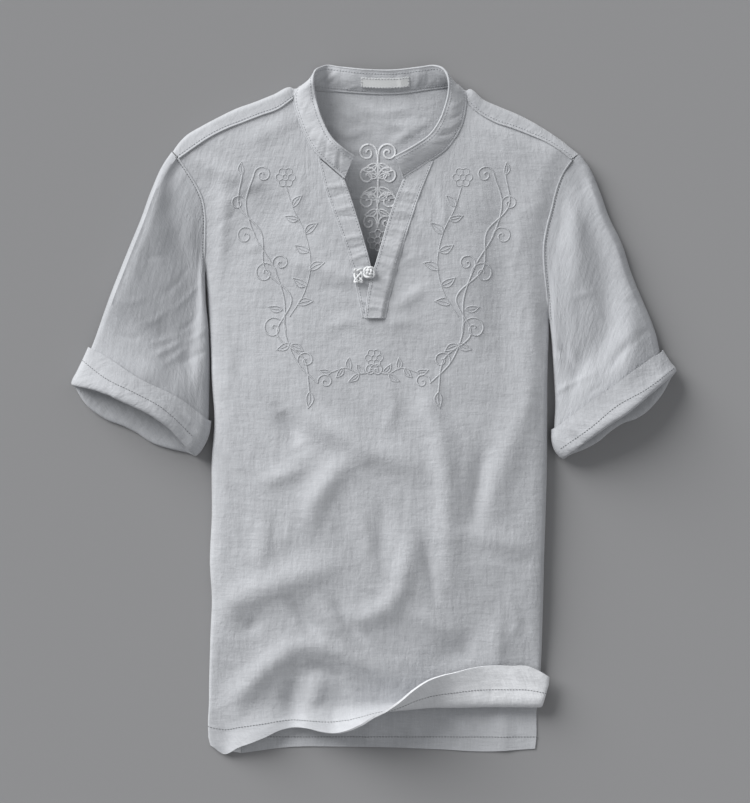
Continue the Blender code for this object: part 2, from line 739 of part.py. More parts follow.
def yoke_line(base, fold, end, level):
    # One line of the yoke, from the back seam over the shoulder's fold to its end
    radius = SHOULDER_RADIUS
    stop = math.asin(np.clip(2 * level - 1, -1, 1))
    if np.isnan(fold[0]):
        toward = (end[:2] - np.array([base[0], 237.4]))
        toward /= np.linalg.norm(toward)
        fold = end[:2] + toward * radius * (1 - math.cos(stop)) * (level > 0)
    else:
        toward = (fold - end[:2]) / np.linalg.norm(fold - end[:2])
    angles = [a for a in np.linspace(-math.pi / 2, math.pi / 2, 5) if a < stop - 0.05] + [stop]
    path = [(base[0], base[1], FLOOR)]
    if level > 0:
        for angle in angles:
            flat = fold - toward * radius * (1 - math.cos(angle))
            path.append((flat[0], flat[1], FLOOR + radius * (1 + math.sin(angle))))
    if level >= 1 or level <= 0:
        path.append(tuple(end))
    path = np.array(path)
    steps = np.linalg.norm(np.diff(path, axis=0), axis=1)
    reach = np.concatenate([[0.0], np.cumsum(steps)])
    top = max(6.0, float(np.linalg.norm(end[:2] - fold)) - radius) if level >= 1 else 6.0
    turn = math.pi * radius
    back = [0, top / 2, top] + [top + turn * k / 4 for k in range(1, 5)]
    rest = reach[-1] - back[-1]
    back += [back[-1] + rest * k for k in (0.12, 0.34, 0.62, 0.84, 1.0)]
    at = reach[-1] - np.array(back)[::-1]
    return np.column_stack([np.interp(at, reach, path[:, k]) for k in range(3)])


def sleeve(side, front_edge, yoke_edge, back_edge):
    # The armhole's ring, from the foot of the armhole over the top to the shoulder and back underneath
    sign = -1 if side == "left" else 1
    outer = LEFT_SLEEVE_OUTER if side == "left" else RIGHT_SLEEVE_OUTER
    inner = LEFT_SLEEVE_INNER if side == "left" else RIGHT_SLEEVE_INNER
    mouth_top = LEFT_MOUTH_TOP if side == "left" else RIGHT_MOUTH_TOP
    mouth_bottom = LEFT_MOUTH_BOTTOM if side == "left" else RIGHT_MOUTH_BOTTOM
    folds = LEFT_SLEEVE_FOLDS if side == "left" else RIGHT_SLEEVE_FOLDS
    widest = int(np.argmax(np.abs(yoke_edge[:, 0] - yoke_edge[:, 1] * sign)))
    top = np.vstack([front_edge, yoke_edge[:widest:-1], yoke_edge[widest : widest + 1]])[::-1]
    bottom = np.vstack([yoke_edge[: widest + 1][::-1], back_edge[::-1]])
    foot = front_edge[0]

    def with_end(line):
        last = line[-1] if np.linalg.norm(line[-1] - foot) > 0.5 else line[-2]
        kept = line[:-1] if np.linalg.norm(line[-1] - foot) <= 0.5 else line
        near = [last + (foot - last) * 0.8]
        return np.vstack([kept, near, [foot]])

    top, bottom = with_end(top), with_end(bottom)
    away = np.array([sign * 0.965, -0.263, 0.0]) * (SEAM_GAP + 1.0)
    rings = []
    for line, mouth, is_top in ((top, mouth_top, True), (bottom, mouth_bottom, False)):
        line = line + away
        line[0, :2], line[-1, :2] = outer[0], inner[0]
        reach = lengths_along(line)
        u = reach / reach[-1]
        mouth_line = curve(mouth, u)
        shares = np.array(SLEEVE_STATIONS)
        flat = patch(line[:, :2], mouth_line, curve(outer, shares), curve(inner, shares))
        grid = np.zeros(flat.shape[:2] + (3,))
        grid[..., :2] = flat
        for i, along in enumerate(shares):
            crown = column(SLEEVE, SLEEVE_COLUMNS, "along", "crown", along)
            widths = np.linalg.norm(flat[i, 0] - flat[i, -1])
            radii = [column(SLEEVE, SLEEVE_COLUMNS, "along", k, along) for k in SLEEVE_COLUMNS[2:]]
            radius = radii[0] * (1 - u) + radii[1] * u
            near = np.minimum(u, 1 - u) * widths
            lift = 2 * TURN_RADIUS * ease((along - 0.55) / 0.25)
            floor = FLOOR + lift
            curl = np.sqrt(np.maximum(radius**2 - (radius - np.minimum(near, radius)) ** 2, 0))
            if is_top:
                open_end = ease((along - 0.62) / 0.2)
                dome = 1 - np.abs(2 * u - 1) ** 2.2
                section = column(SECTION, SECTION_COLUMNS, "across", side, u)
                z = floor + radius + curl + crown * (section * (1 - open_end) + dome * open_end)
                z += fold_height(folds, flat[i, :, 0], flat[i, :, 1]) * ease(near / 20)
            else:
                z = floor + radius - curl
            blend = ease(along / 0.2)
            grid[i, :, 2] = (1 - blend) * line[:, 2] + blend * z
        rings.append(grid)
    upper, lower = rings
    ring = np.concatenate([upper, lower[:, 1:-1][:, ::-1]], axis=1)
    top_shares = lengths_along(top) / lengths_along(top)[-1]
    bottom_shares = (lengths_along(bottom) / lengths_along(bottom)[-1])[1:-1][::-1]
    turned = turn_up(ring, np.concatenate([top_shares, bottom_shares]), side)
    return np.concatenate([ring, turned])


def turn_up(ring, across, side):
    # The sleeve's end turned out and back over itself
    present = np.ones((ring.shape[0] - 1, ring.shape[1]), bool)
    normals = grid_normals(ring, present, True)
    centre = ring.mean(axis=1, keepdims=True)
    if ((ring - centre) * normals).sum() < 0:
        normals = -normals
    heights = column(TURN_UP, TURN_UP_COLUMNS, "across", side, across)
    last = ring[-1]
    ahead = last - ring[-2]
    ahead /= np.linalg.norm(ahead, axis=1, keepdims=True)
    rows = []
    for degrees in (45, 90, 135):
        angle = math.radians(degrees)
        forward = ahead * TURN_RADIUS * math.sin(angle)
        rows.append(last + forward + normals[-1] * TURN_RADIUS * (1 - math.cos(angle)))
    lines = ring[::-1]
    outs = normals[::-1]
    for share in (0.0, 0.3, 0.65, 1.0):
        row = []
        for j in range(ring.shape[1]):
            steps = np.linalg.norm(np.diff(lines[:, j], axis=0), axis=1)
            reach = np.concatenate([[0.0], np.cumsum(steps)])
            at = share * heights[j]
            place = np.array([np.interp(at, reach, lines[:, j, k]) for k in range(3)])
            out = np.array([np.interp(at, reach, outs[:, j, k]) for k in range(3)])
            row.append(place + out / np.linalg.norm(out) * 2 * TURN_RADIUS)
        rows.append(row)
    return np.array(rows)


def collar_grid():
    seam = neck_points()
    table = np.array(NECK, float)
    edge = table[:, 3:5]
    flat = np.linalg.norm(edge - seam[:, :2], axis=1)
    rise = np.sqrt(np.maximum(COLLAR_HEIGHT**2 - flat**2, 16.0))
    shares = np.linspace(0, 1, 60)
    reach = lengths_along(seam)
    low = smooth_through(reach / reach[-1], seam, shares)
    high = smooth_through(reach / reach[-1], np.column_stack([edge, seam[:, 2] + rise]), shares)
    low[:, 2] += 0.5
    grid = []
    for share in (0.0, 0.33, 0.67, 1.0):
        line = low * (1 - share) + high * share
        line[:, 2] += 1.6 * math.sin(math.pi * share)
        grid.append(line)
    return np.array(grid)


def band_grid(side):
    # One facing of the neck slit, on the front's height; the right one climbs over the left
    rows = LEFT_BAND if side == "left" else RIGHT_BAND
    neck = outward(neck_points(), SEAM_GAP + 1.9)
    if side == "left":
        top_outer, top_inner = neck[LEFT_BAND_CORNER], neck[0]
    else:
        top_outer, top_inner = neck[RIGHT_BAND_CORNER], neck[-1]
    outer = [tuple(top_outer[:2])] + [(r[0], r[2]) for r in rows]
    inner = [tuple(top_inner[:2])] + [(r[1], r[2]) for r in rows]
    shares = np.linspace(0, 1, 19)
    outer, inner = curve(outer, shares), curve(inner, shares)
    across = (0.0, 0.25, 0.5, 0.75, 1.0)
    grid = np.zeros((len(shares), len(across), 3))
    for j, share in enumerate(across):
        flat = outer * (1 - share) + inner * share
        grid[:, j, :2] = flat
        z = front_height(flat[:, 0], flat[:, 1])
        if side == "right":
            over = ease((208 - flat[:, 1]) / 40)
            step = ease(np.linalg.norm(flat - outer, axis=1) / 4.5)
            z = z + BAND_LAP * over * step
        grid[:, j, 2] = z
    return grid if side == "left" else grid[:, ::-1]


def knot():
    # A knotted cord button: a flattened ball with the strands' furrows
    high = float(front_height(-3, 152)) + BAND_LAP + BAND_WALL / 2 - 0.35
    around, up = 24, 11
    vertices, faces = [], []
    for k in range(1, up):
        tilt = math.pi * k / up
        for m in range(around):
            turn = 2 * math.pi * m / around
            weave = 0.09 * math.cos(4 * turn + 3 * math.cos(tilt) * 1.6) * math.sin(tilt) ** 0.5
            weave += 0.05 * math.cos(8 * tilt)
            size = KNOT_WIDTH / 2 * (0.93 + weave)
            square = 1 / (abs(math.cos(turn)) ** 2.6 + abs(math.sin(turn)) ** 2.6) ** (1 / 2.6)
            x = size * square * math.sin(tilt) * math.cos(turn + math.pi / 4)
            y = size * square * math.sin(tilt) * math.sin(turn + math.pi / 4)
            z = KNOT_HEIGHT / 2 * math.cos(tilt) * (1 + weave)
            vertices.append((-4.2 + x, 152.5 + y, high + KNOT_HEIGHT / 2 + z))
    top = len(vertices)
    vertices.append((-4.2, 152.5, high + KNOT_HEIGHT * 0.97))
    vertices.append((-4.2, 152.5, high + KNOT_HEIGHT * 0.03))
    for m in range(around):
        n = (m + 1) % around
        faces.append([top, m, n])
        faces.append([top + 1, (up - 2) * around + n, (up - 2) * around + m])
        for k in range(up - 2):
            a, b = k * around, (k + 1) * around
            faces.append([a + m, b + m, b + n, a + n])
    return add_object("knot_button", vertices, faces, "cord")


def loop_cord():
    # The cord's two lobes, crossed once, beside the knot
    base = float(front_height(-16, 149)) + BAND_WALL / 2 + CORD / 2 + 0.4
    count, sides = 44, 8
    path = []
    for k in range(count):
        t = 2 * math.pi * k / count
        x = -16.8 + LOOP_WIDTH / 2 * math.sin(2 * t) * 0.95
        y = 149.0 + (LOOP_LENGTH - CORD) / 2 * math.cos(t)
        z = base + 2.0 + 2.0 * math.sin(t)
        path.append((x, y, z))
    path = np.array(path)
    ahead = np.roll(path, -1, axis=0) - np.roll(path, 1, axis=0)
    ahead /= np.linalg.norm(ahead, axis=1, keepdims=True)
    side = np.cross(ahead, [0, 0, 1.0])
    side /= np.linalg.norm(side, axis=1, keepdims=True)
    over = np.cross(side, ahead)
    vertices, faces = [], []
    for k in range(count):
        for m in range(sides):
            turn = 2 * math.pi * m / sides
            vertices.append(path[k] + CORD / 2 * (math.cos(turn) * side[k] + math.sin(turn) * over[k]))
    for k in range(count):
        n = (k + 1) % count
        for m in range(sides):
            q = (m + 1) % sides
            faces.append([k * sides + m, n * sides + m, n * sides + q, k * sides + q])
    return add_object("button_loop", vertices, faces, "cord")


def label_grid(collar):
    # The label lies on the inside of the collar's back, so it is made from the collar's own points
    behind = (np.abs(collar[0, :, 0] - 14) < 60) & (collar[0, :, 1] > 350)
    near = np.flatnonzero(behind)
    low, high = collar[0, near], collar[-1, near]
    order = np.argsort(low[:, 0])
    low, high = low[order], high[order]
    normal = np.cross([1.0, 0, 0], (high - low).mean(axis=0))
    normal /= np.linalg.norm(normal)
    xs = np.linspace(-14.0, -14.0 + LABEL_WIDTH, 7)
    mids = (collar[1][near][order] + collar[2][near][order]) / 2
    spread = (high - low).mean(axis=0)
    spread /= np.linalg.norm(spread)
    grid = np.zeros((2, len(xs), 3))
    for j, x in enumerate(xs):
        middle = np.array([x] + [np.interp(x, mids[:, 0], mids[:, k]) for k in (1, 2)])
        middle = middle + normal * (BAND_WALL / 2 + LABEL_WALL / 2 + 0.5) - spread * 1.0
        grid[0, j] = middle - spread * LABEL_HEIGHT / 2
        grid[1, j] = middle + spread * LABEL_HEIGHT / 2
    return grid


def centre_on_floor():
    # The origin goes to the middle of the underside
    corners = [v.co for item in bpy.data.objects for v in item.data.vertices]
    low = [min(c[k] for c in corners) for k in range(3)]
    high = [max(c[k] for c in corners) for k in range(3)]
    shift = (-(low[0] + high[0]) / 2, -(low[1] + high[1]) / 2, -low[2])
    for item in bpy.data.objects:
        for vertex in item.data.vertices:
            for k in range(3):
                vertex.co[k] += shift[k]
        item.data.update()
    print("moved to the origin by", [round(s / MM, 3) for s in shift])


def main():
    clear_scene()
    front, front_present = front_panel()
    shell("front", front, WALL, "linen", present=front_present)
    back = back_panel()
    shell("back", back, WALL, "linen")
    yoke = yoke_panel()
    shell("yoke", yoke[:, ::-1], WALL, "linen")
    first_upper = len(front) - len(LEFT_ARMHOLE_ROWS)
    left_edge = front[first_upper + LEFT_UNDERARM_ROW :, 3]
    right_edge = front[first_upper:, 31]
    left_back = back[[k for k in range(len(back)) if back[k, 0, 1] > 158], 0]
    right_back = back[[k for k in range(len(back)) if back[k, -1, 1] > 106], -1]
    left = sleeve("left", left_edge, yoke[:, 0], left_back)
    right = sleeve("right", right_edge, yoke[:, -1], right_back)
    shell("sleeve_left", left, WALL, "linen", ring=True)
    shell("sleeve_right", right[:, ::-1], WALL, "linen", ring=True)
    collar = collar_grid()
    shell("collar", collar, BAND_WALL, "linen_band")
    shell("placket_left", band_grid("left")[::-1], BAND_WALL - 0.2, "linen_band")
    shell("placket_right", band_grid("right")[::-1], BAND_WALL - 0.2, "linen_band")
    knot()
    loop_cord()
    shell("label", label_grid(collar), LABEL_WALL, "label")
    centre_on_floor()
    for item in bpy.data.objects:
        print(item.name, len(item.data.polygons), "faces")


main()
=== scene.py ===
# The looks of a short-sleeved linen shirt with a band collar, laid flat on its back.
# Sizes are in millimetres, as in the part's own source, until each mesh is made in metres.
import json
import math

import bpy
import numpy as np
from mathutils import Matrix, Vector
from mathutils.bvhtree import BVHTree

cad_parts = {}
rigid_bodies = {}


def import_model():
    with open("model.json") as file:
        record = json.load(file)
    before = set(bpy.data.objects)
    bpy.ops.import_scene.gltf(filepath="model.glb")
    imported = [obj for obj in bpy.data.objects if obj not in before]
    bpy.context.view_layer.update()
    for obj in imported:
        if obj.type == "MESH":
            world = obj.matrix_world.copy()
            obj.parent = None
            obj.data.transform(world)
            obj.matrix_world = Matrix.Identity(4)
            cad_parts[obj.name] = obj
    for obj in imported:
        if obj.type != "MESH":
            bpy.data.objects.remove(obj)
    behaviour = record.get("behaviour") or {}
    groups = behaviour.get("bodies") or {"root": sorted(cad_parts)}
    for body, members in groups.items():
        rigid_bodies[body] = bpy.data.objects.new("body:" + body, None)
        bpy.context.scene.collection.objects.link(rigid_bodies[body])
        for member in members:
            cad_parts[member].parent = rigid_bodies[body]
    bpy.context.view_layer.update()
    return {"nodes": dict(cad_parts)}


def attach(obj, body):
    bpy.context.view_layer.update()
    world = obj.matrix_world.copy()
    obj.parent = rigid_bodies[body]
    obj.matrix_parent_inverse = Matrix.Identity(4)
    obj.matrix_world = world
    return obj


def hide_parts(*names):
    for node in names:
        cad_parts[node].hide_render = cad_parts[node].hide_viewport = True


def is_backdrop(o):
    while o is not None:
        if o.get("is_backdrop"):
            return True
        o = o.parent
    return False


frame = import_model()

mm = 0.001

shirt = {
    "wall": 1.4,  # cloth of the body and the sleeves
    "floorHeight": 0.75,  # middle of the cloth that lies on the surface
    "strip": 35.0,  # how far the front wraps under its sides
    "shoulderRadius": 5.5,
    "hemTop": -326.0,
    "hemBend": 16.0,
    "slitLeft": -12.4,
    "slitRight": 13.3,
    "toOrigin": (-0.432, -0.112, -0.05),
    "step": 2.8,  # distance between the points of a fine grid
}

# from hem to shoulder: both sides' x, the radii of their folds, height at the middle
bodyColumns = ("y", "left", "right", "leftRadius", "rightRadius", "crown")
bodyRows = [
    (-385, -174.0, 184.0, 1.3, 1.6, 6.5),
    (-374, -182.0, 185.0, 1.3, 1.6, 6.6),
    (-360, -184.2, 186.0, 1.4, 1.8, 7.0),
    (-326, -183.4, 186.5, 2.2, 2.6, 8.0),
    (-300, -183.1, 186.0, 3.0, 4.0, 12.0),
    (-272, -182.2, 187.2, 4.5, 5.0, 16.0),
    (-243, -181.2, 188.0, 6.0, 6.5, 20.0),
    (-214, -179.8, 188.9, 7.0, 7.5, 23.0),
    (-170, -182.0, 189.8, 8.0, 8.0, 26.0),
    (-118, -179.8, 191.5, 8.5, 8.5, 27.5),
    (-54, -179.8, 193.2, 8.5, 8.5, 28.0),
    (-11, -176.9, 193.4, 8.5, 8.0, 28.0),
    (32, -179.8, 193.6, 8.0, 7.0, 28.0),
    (63, -180.9, 194.4, 7.0, 5.5, 27.5),
    (102, -183.4, 195.4, 5.5, 4.0, 27.0),
    (128, -185.1, 193.2, 4.5, 4.5, 26.5),
    (154.6, -187.2, 190.2, 4.0, 5.0, 26.0),
    (186, -187.6, 189.6, 4.5, 5.5, 25.0),
    (209, -186.9, 193.8, 5.0, 5.5, 24.0),
    (230, -188.7, 199.6, 5.5, 5.5, 23.0),
    (245, -194.3, 203.0, 5.5, 5.5, 22.0),
    (261, -203.7, 208.8, 5.5, 5.5, 21.0),
    (281, -217.0, 221.2, 5.5, 5.5, 19.5),
    (289, -223.7, 228.0, 5.5, 5.5, 18.5),
    (301, -214.5, 209.5, 5.5, 5.5, 17.5),
    (316, -193.0, 187.0, 5.5, 5.5, 15.5),
    (337, -152.0, 144.0, 5.5, 5.5, 13.5),
    (346, -126.0, 124.0, 5.5, 5.5, 12.5),
    (357, -98.6, 103.0, 5.5, 5.5, 12.0),
    (366, -80.3, 93.0, 5.5, 5.5, 12.0),
]

# large folds, bolder than in the solids: height (below zero for a trough), half width, the crest's line
frontFolds = [
    (6.0, 15, (-81, -4), (-57, -17), (-25, -32), (-5, -46), (27, -55), (53, -68)),
    (5.4, 14, (-20, -55), (-41, -68), (-53, -84), (-65, -103), (-71, -129)),
    (3.2, 10, (-80, -60), (-95, -71), (-124, -80)),
    (5.4, 14, (60, 24), (64, -4), (73, -28), (79, -60), (81, -92), (82, -129), (84, -165), (86, -190)),
    (-3.0, 7, (57, -146), (62, -170), (68, -208)),
    (5.0, 13, (39, -136), (38, -167), (31, -196), (18, -219), (-14, -233), (-31, -230)),
    (6.0, 17, (-40, -170), (-72, -183), (-103, -192), (-130, -203), (-160, -216), (-183, -226)),
    (6.0, 15, (-62, -262), (-94, -268), (-122, -290), (-151, -322), (-166, -345)),
    (4.8, 13, (-74, -263), (-39, -270), (-5, -285), (30, -302)),
    (-4.2, 8, (-90, -212), (-78, -230), (-65, -249)),
    (-4.0, 7, (-44, -212), (-30, -234), (-13, -254)),
    (2.6, 9, (-60, -216), (-44, -238), (-22, -260)),
    (2.6, 9, (42, -224), (65, -237), (87, -250)),
    (5.4, 11, (-64, -302), (-66, -330), (-68, -354)),
    (-5.6, 10, (-88, -300), (-92, -325), (-96, -356)),
    (-3.2, 8, (-76, -292), (-58, -289), (-40, -298), (-30, -318)),
    (-4.2, 10, (112, -122), (116, -90), (122, -48)),
    (4.2, 17, (128, -118), (136, -84), (149, -48), (163, -14), (176, 14)),
    (2.6, 12, (79, -138), (126, -143), (187, -157)),
    (-3.6, 14, (108, -244), (100, -270), (66, -276)),
    (-6.4, 12, (-104, -2), (-92, -20), (-81, -38)),
    (3.2, 10, (136, -236), (138, -262), (138, -286)),
    (-2.4, 9, (-128, -232), (-142, -248)),
    (2.4, 10, (-122, -124), (-123, -153), (-126, -176)),
    (3.2, 10, (-208, 279), (-177, 269), (-150, 257), (-131, 251)),
    (3.4, 10, (-164, 261), (-168, 221), (-173, 182), (-177, 132)),
    (2.2, 9, (-137, 302), (-114, 312), (-88, 325)),
    (2.2, 9, (109, 325), (132, 312), (162, 298)),
    (-3.8, 15, (-134, 251), (-108, 221), (-78, 198)),
    (1.5, 8, (-83, 254), (-86, 211)),
    (3.0, 10, (-91, 169), (-55, 154), (-19, 146)),
    (1.6, 7, (-49, 90), (-29, 100), (-9, 91)),
    (1.6, 7, (12, 95), (34, 100), (50, 91)),
    (4.0, 22, (199, 284), (196, 221), (192, 162), (191, 113), (185, 63), (181, 14)),
    (-3.2, 18, (144, 261), (139, 195), (139, 129), (147, 47)),
    (2.0, 8, (24, 114), (61, 137)),
    (1.8, 9, (-20, -103), (-6, -141), (-2, -182)),
    (-1.8, 9, (11, -100), (10, -129), (7, -159)),
    (1.8, 8, (14, 25), (23, 2), (14, -25)),
]

# creases that only the looks hold: height, half width, the crest's line
frontCreases = [
    (0.8, 4, (-172, 224), (-150, 246), (-124, 258)),
    (-0.7, 3.5, (-176, 206), (-152, 226)),
    (0.7, 4, (-150, 178), (-118, 190)),
    (-0.7, 4, (-118, 236), (-100, 214), (-84, 203)),
    (0.6, 3, (-84, 178), (-62, 170), (-48, 172)),
    (0.7, 3, (-58, 142), (-38, 136), (-22, 142)),
    (-0.6, 3, (-60, 132), (-40, 126)),
    (0.6, 3, (28, 160), (46, 172), (64, 176)),
    (-0.7, 4, (58, 262), (66, 236), (64, 208)),
    (0.7, 4, (70, 258), (76, 228), (72, 196)),
    (-0.6, 4, (92, 240), (96, 210)),
    (0.6, 4, (160, 220), (162, 180), (160, 140)),
    (-0.6, 4, (172, 120), (168, 84), (172, 50)),
    (0.6, 4, (-168, 96), (-160, 60), (-164, 28)),
    (-0.6, 4, (-150, 60), (-146, 28)),
    (0.7, 4, (-166, -40), (-150, -60), (-130, -66)),
    (-0.6, 4, (-160, -84), (-140, -96)),
    (0.6, 4, (-152, -118), (-146, -146)),
    (-0.6, 4, (-110, -100), (-106, -132), (-110, -160)),
    (0.7, 4, (-92, -112), (-90, -146)),
    (0.6, 4, (-44, -120), (-48, -152)),
    (-0.6, 3.5, (-30, -112), (-30, -148)),
    (0.5, 3, (-16, -70), (6, -84), (20, -104)),
    (-0.6, 4, (24, -72), (34, -98), (36, -122)),
    (0.6, 4, (100, -6), (104, -34), (102, -60)),
    (-0.5, 4, (150, -110), (170, -118)),
    (0.6, 4, (112, -172), (140, -176), (170, -186)),
    (-0.6, 4, (104, -196), (134, -204)),
    (0.7, 4, (150, -206), (156, -236), (152, -262)),
    (-0.7, 4, (164, -214), (168, -250)),
    (0.7, 4, (-172, -250), (-150, -262)),
    (-0.7, 4, (-160, -284), (-140, -300)),
    (0.6, 4, (-30, -188), (-10, -200), (6, -198)),
    (-0.7, 4, (14, -240), (34, -256), (50, -262)),
    (0.7, 4, (26, -276), (52, -284)),
    (0.6, 3.5, (-120, -330), (-112, -352)),
    (-0.6, 3.5, (-30, -346), (-26, -366)),
    (0.5, 3, (60, -340), (62, -360)),
    (-0.5, 3, (92, -338), (90, -362)),
    (0.5, 3, (124, -342), (128, -364)),
]


def smoothThrough(knots, values, at):
    knots, values = np.asarray(knots, float), np.asarray(values, float)
    gaps = np.diff(knots)
    slopes = np.diff(values, axis=0) / (gaps if values.ndim == 1 else gaps[:, None])
    tangents = np.empty_like(values)
    tangents[0], tangents[-1] = slopes[0], slopes[-1]
    for k in range(1, len(knots) - 1):
        before, after = gaps[k - 1], gaps[k]
        tangents[k] = (slopes[k - 1] * after + slopes[k] * before) / (before + after)
    at = np.clip(np.asarray(at, float), knots[0], knots[-1])
    k = np.clip(np.searchsorted(knots, at, side="right") - 1, 0, len(gaps) - 1)
    h = gaps[k]
    t = (at - knots[k]) / h
    if values.ndim > 1:
        h, t = h[..., None], t[..., None]
    start = values[k] * (2 * t**3 - 3 * t**2 + 1) + tangents[k] * h * (t**3 - 2 * t**2 + t)
    return start + values[k + 1] * (3 * t**2 - 2 * t**3) + tangents[k + 1] * h * (t**3 - t**2)


def columnAt(rows, columns, key, wanted, at):
    table = np.array(rows, float)
    knots, values = table[:, columns.index(key)], table[:, columns.index(wanted)]
    order = np.argsort(knots)
    return smoothThrough(knots[order], values[order], at)


def bodyAt(wanted, y):
    return columnAt(bodyRows, bodyColumns, "y", wanted, y)


def lengthsAlong(points):
    steps = np.linalg.norm(np.diff(np.asarray(points, float)[:, :2], axis=0), axis=1)
    return np.concatenate([[0.0], np.cumsum(steps)])


def curveAt(points, shares):
    points = np.asarray(points, float)
    reach = lengthsAlong(points)
    return smoothThrough(reach / reach[-1], points, np.asarray(shares, float))


def ease(value):
    value = np.clip(value, 0.0, 1.0)
    return value * value * (3 - 2 * value)


def foldHeight(folds, x, y):
    x, y = np.broadcast_arrays(np.asarray(x, float), np.asarray(y, float))
    total = np.zeros(x.shape)
    for height, width, *line in folds:
        nearest, place, done = np.full(x.shape, 1e9), np.zeros(x.shape), 0.0
        for (x0, y0), (x1, y1) in zip(line, line[1:]):
            dx, dy = x1 - x0, y1 - y0
            length = math.hypot(dx, dy)
            share = np.clip(((x - x0) * dx + (y - y0) * dy) / length**2, 0, 1)
            away = (x - x0 - share * dx) ** 2 + (y - y0 - share * dy) ** 2
            place = np.where(away < nearest, done + share * length, place)
            nearest = np.minimum(away, nearest)
            done += length
        fade = np.sin(math.pi * (0.05 + 0.9 * place / done)) ** 0.6
        total = total + height * fade * np.exp(-nearest / width**2)
    return total


def frontHeight(x, y):
    x, y = np.asarray(x, float), np.asarray(y, float)
    left, right = bodyAt("left", y), bodyAt("right", y)
    share = np.clip((x - left) / (right - left), 0, 1)
    radius = bodyAt("leftRadius", y) * (1 - share) + bodyAt("rightRadius", y) * share
    edge = shirt["floorHeight"] + 2 * radius
    dome = 1 - np.abs(2 * share - 1) ** 2.6
    inside = ease(np.minimum(x - left, right - x) / 26)
    return edge + (bodyAt("crown", y) - edge) * dome + foldHeight(frontFolds, x, y) * inside


def wander(x, y):
    # bends straight creases a little, so that none runs true
    dx = 3.2 * np.sin(y / 23 + 1.3) + 1.7 * np.sin(y / 9.7 + x / 41)
    dy = 3.0 * np.sin(x / 27 + 0.6) + 1.6 * np.sin(x / 11.3 - y / 37)
    return x + dx, y + dy


def rumple(x, y):
    # low unevenness all over, a few tenths of a millimetre
    a = np.sin(x / 31 + 2.1 * np.sin(y / 57)) * np.sin(y / 43 + 1.7 * np.sin(x / 49))
    b = np.sin(x / 13.7 + 1.9 * np.sin(y / 29 + 2)) * np.sin(y / 17.3 + 1.4 * np.sin(x / 21 + 1))
    return 0.5 * a + 0.22 * b


def creaseHeight(creases, x, y):
    xw, yw = wander(x, y)
    return foldHeight(creases, xw, yw) + rumple(x, y)


def clothTop(x, y):
    # middle of the front's cloth, creases included
    return frontHeight(x, y) + creaseHeight(frontCreases, np.asarray(x, float), np.asarray(y, float))


def patch(bottom, top, left, right):
    bottom, top, left, right = (np.asarray(e, float) for e in (bottom, top, left, right))
    shares = [lengthsAlong(e) / lengthsAlong(e)[-1] for e in (bottom, top, left, right)]
    u = ((shares[0] + shares[1]) / 2)[None, :, None]
    v = ((shares[2] + shares[3]) / 2)[:, None, None]
    sides = (1 - v) * bottom[None] + v * top[None] + (1 - u) * left[:, None] + u * right[:, None]
    low = (1 - u) * (1 - v) * bottom[0] + u * (1 - v) * bottom[-1]
    return sides - low - (1 - u) * v * top[0] - u * v * top[-1]


def finer(grid, step=None, breaks=(), rowStep=None):
    # more points between the given ones, on smooth curves; a curve starts anew at each break column
    grid = np.asarray(grid, float)
    step = step or shirt["step"]
    rowGaps = np.linalg.norm(np.diff(grid[..., :3], axis=0), axis=2).mean(axis=1)
    columnGaps = np.linalg.norm(np.diff(grid[..., :3], axis=1), axis=2).mean(axis=0)

    def places(gaps, wanted):
        found = [0.0]
        for k, gap in enumerate(gaps):
            count = max(1, int(round(gap / wanted)))
            found += [k + m / count for m in range(1, count + 1)]
        return np.array(found)

    rowAt, acrossAt = places(rowGaps, rowStep or step), places(columnGaps, step)
    knots = np.concatenate([[0.0], np.cumsum(np.maximum(rowGaps, 0.05))])
    at = np.interp(rowAt, range(len(knots)), knots)
    flat = smoothThrough(knots, grid.reshape(grid.shape[0], -1), at)
    tall = flat.reshape(len(rowAt), grid.shape[1], grid.shape[2])
    knots = np.concatenate([[0.0], np.cumsum(np.maximum(columnGaps, 0.05))])
    at = np.interp(acrossAt, range(len(knots)), knots)
    turned = tall.transpose(1, 0, 2).reshape(grid.shape[1], -1)
    wide = np.empty((len(acrossAt), turned.shape[1]))
    ends = [0, *breaks, grid.shape[1] - 1]
    for first, last in zip(ends, ends[1:]):
        inside = (acrossAt >= first) & (acrossAt <= last)
        wide[inside] = smoothThrough(knots[first : last + 1], turned[first : last + 1], at[inside])
    made = wide.reshape(len(acrossAt), len(rowAt), grid.shape[2]).transpose(1, 0, 2)
    return made, rowAt, acrossAt


def finerMask(present, rowAt, acrossAt):
    rows = np.floor((rowAt[:-1] + rowAt[1:]) / 2).astype(int)
    columns = np.floor((acrossAt[:-1] + acrossAt[1:]) / 2).astype(int)
    return present[np.ix_(rows, columns)]


def gridNormals(points, present=None, ring=False):
    after = np.roll(points, -1, axis=1) if ring else points[:, 1:]
    here = points if ring else points[:, :-1]
    a, b, c, d = here[:-1], after[:-1], after[1:], here[1:]
    face = np.cross(c - a, d - b)
    if present is not None:
        face = face * present[..., None]
    total = np.zeros_like(points)
    if ring:
        both = face + np.roll(face, 1, axis=1)
        total[:-1] += both
        total[1:] += both
    else:
        total[:-1, :-1] += face
        total[:-1, 1:] += face
        total[1:, 1:] += face
        total[1:, :-1] += face
    size = np.linalg.norm(total, axis=2, keepdims=True)
    return total / np.where(size > 1e-9, size, 1.0)


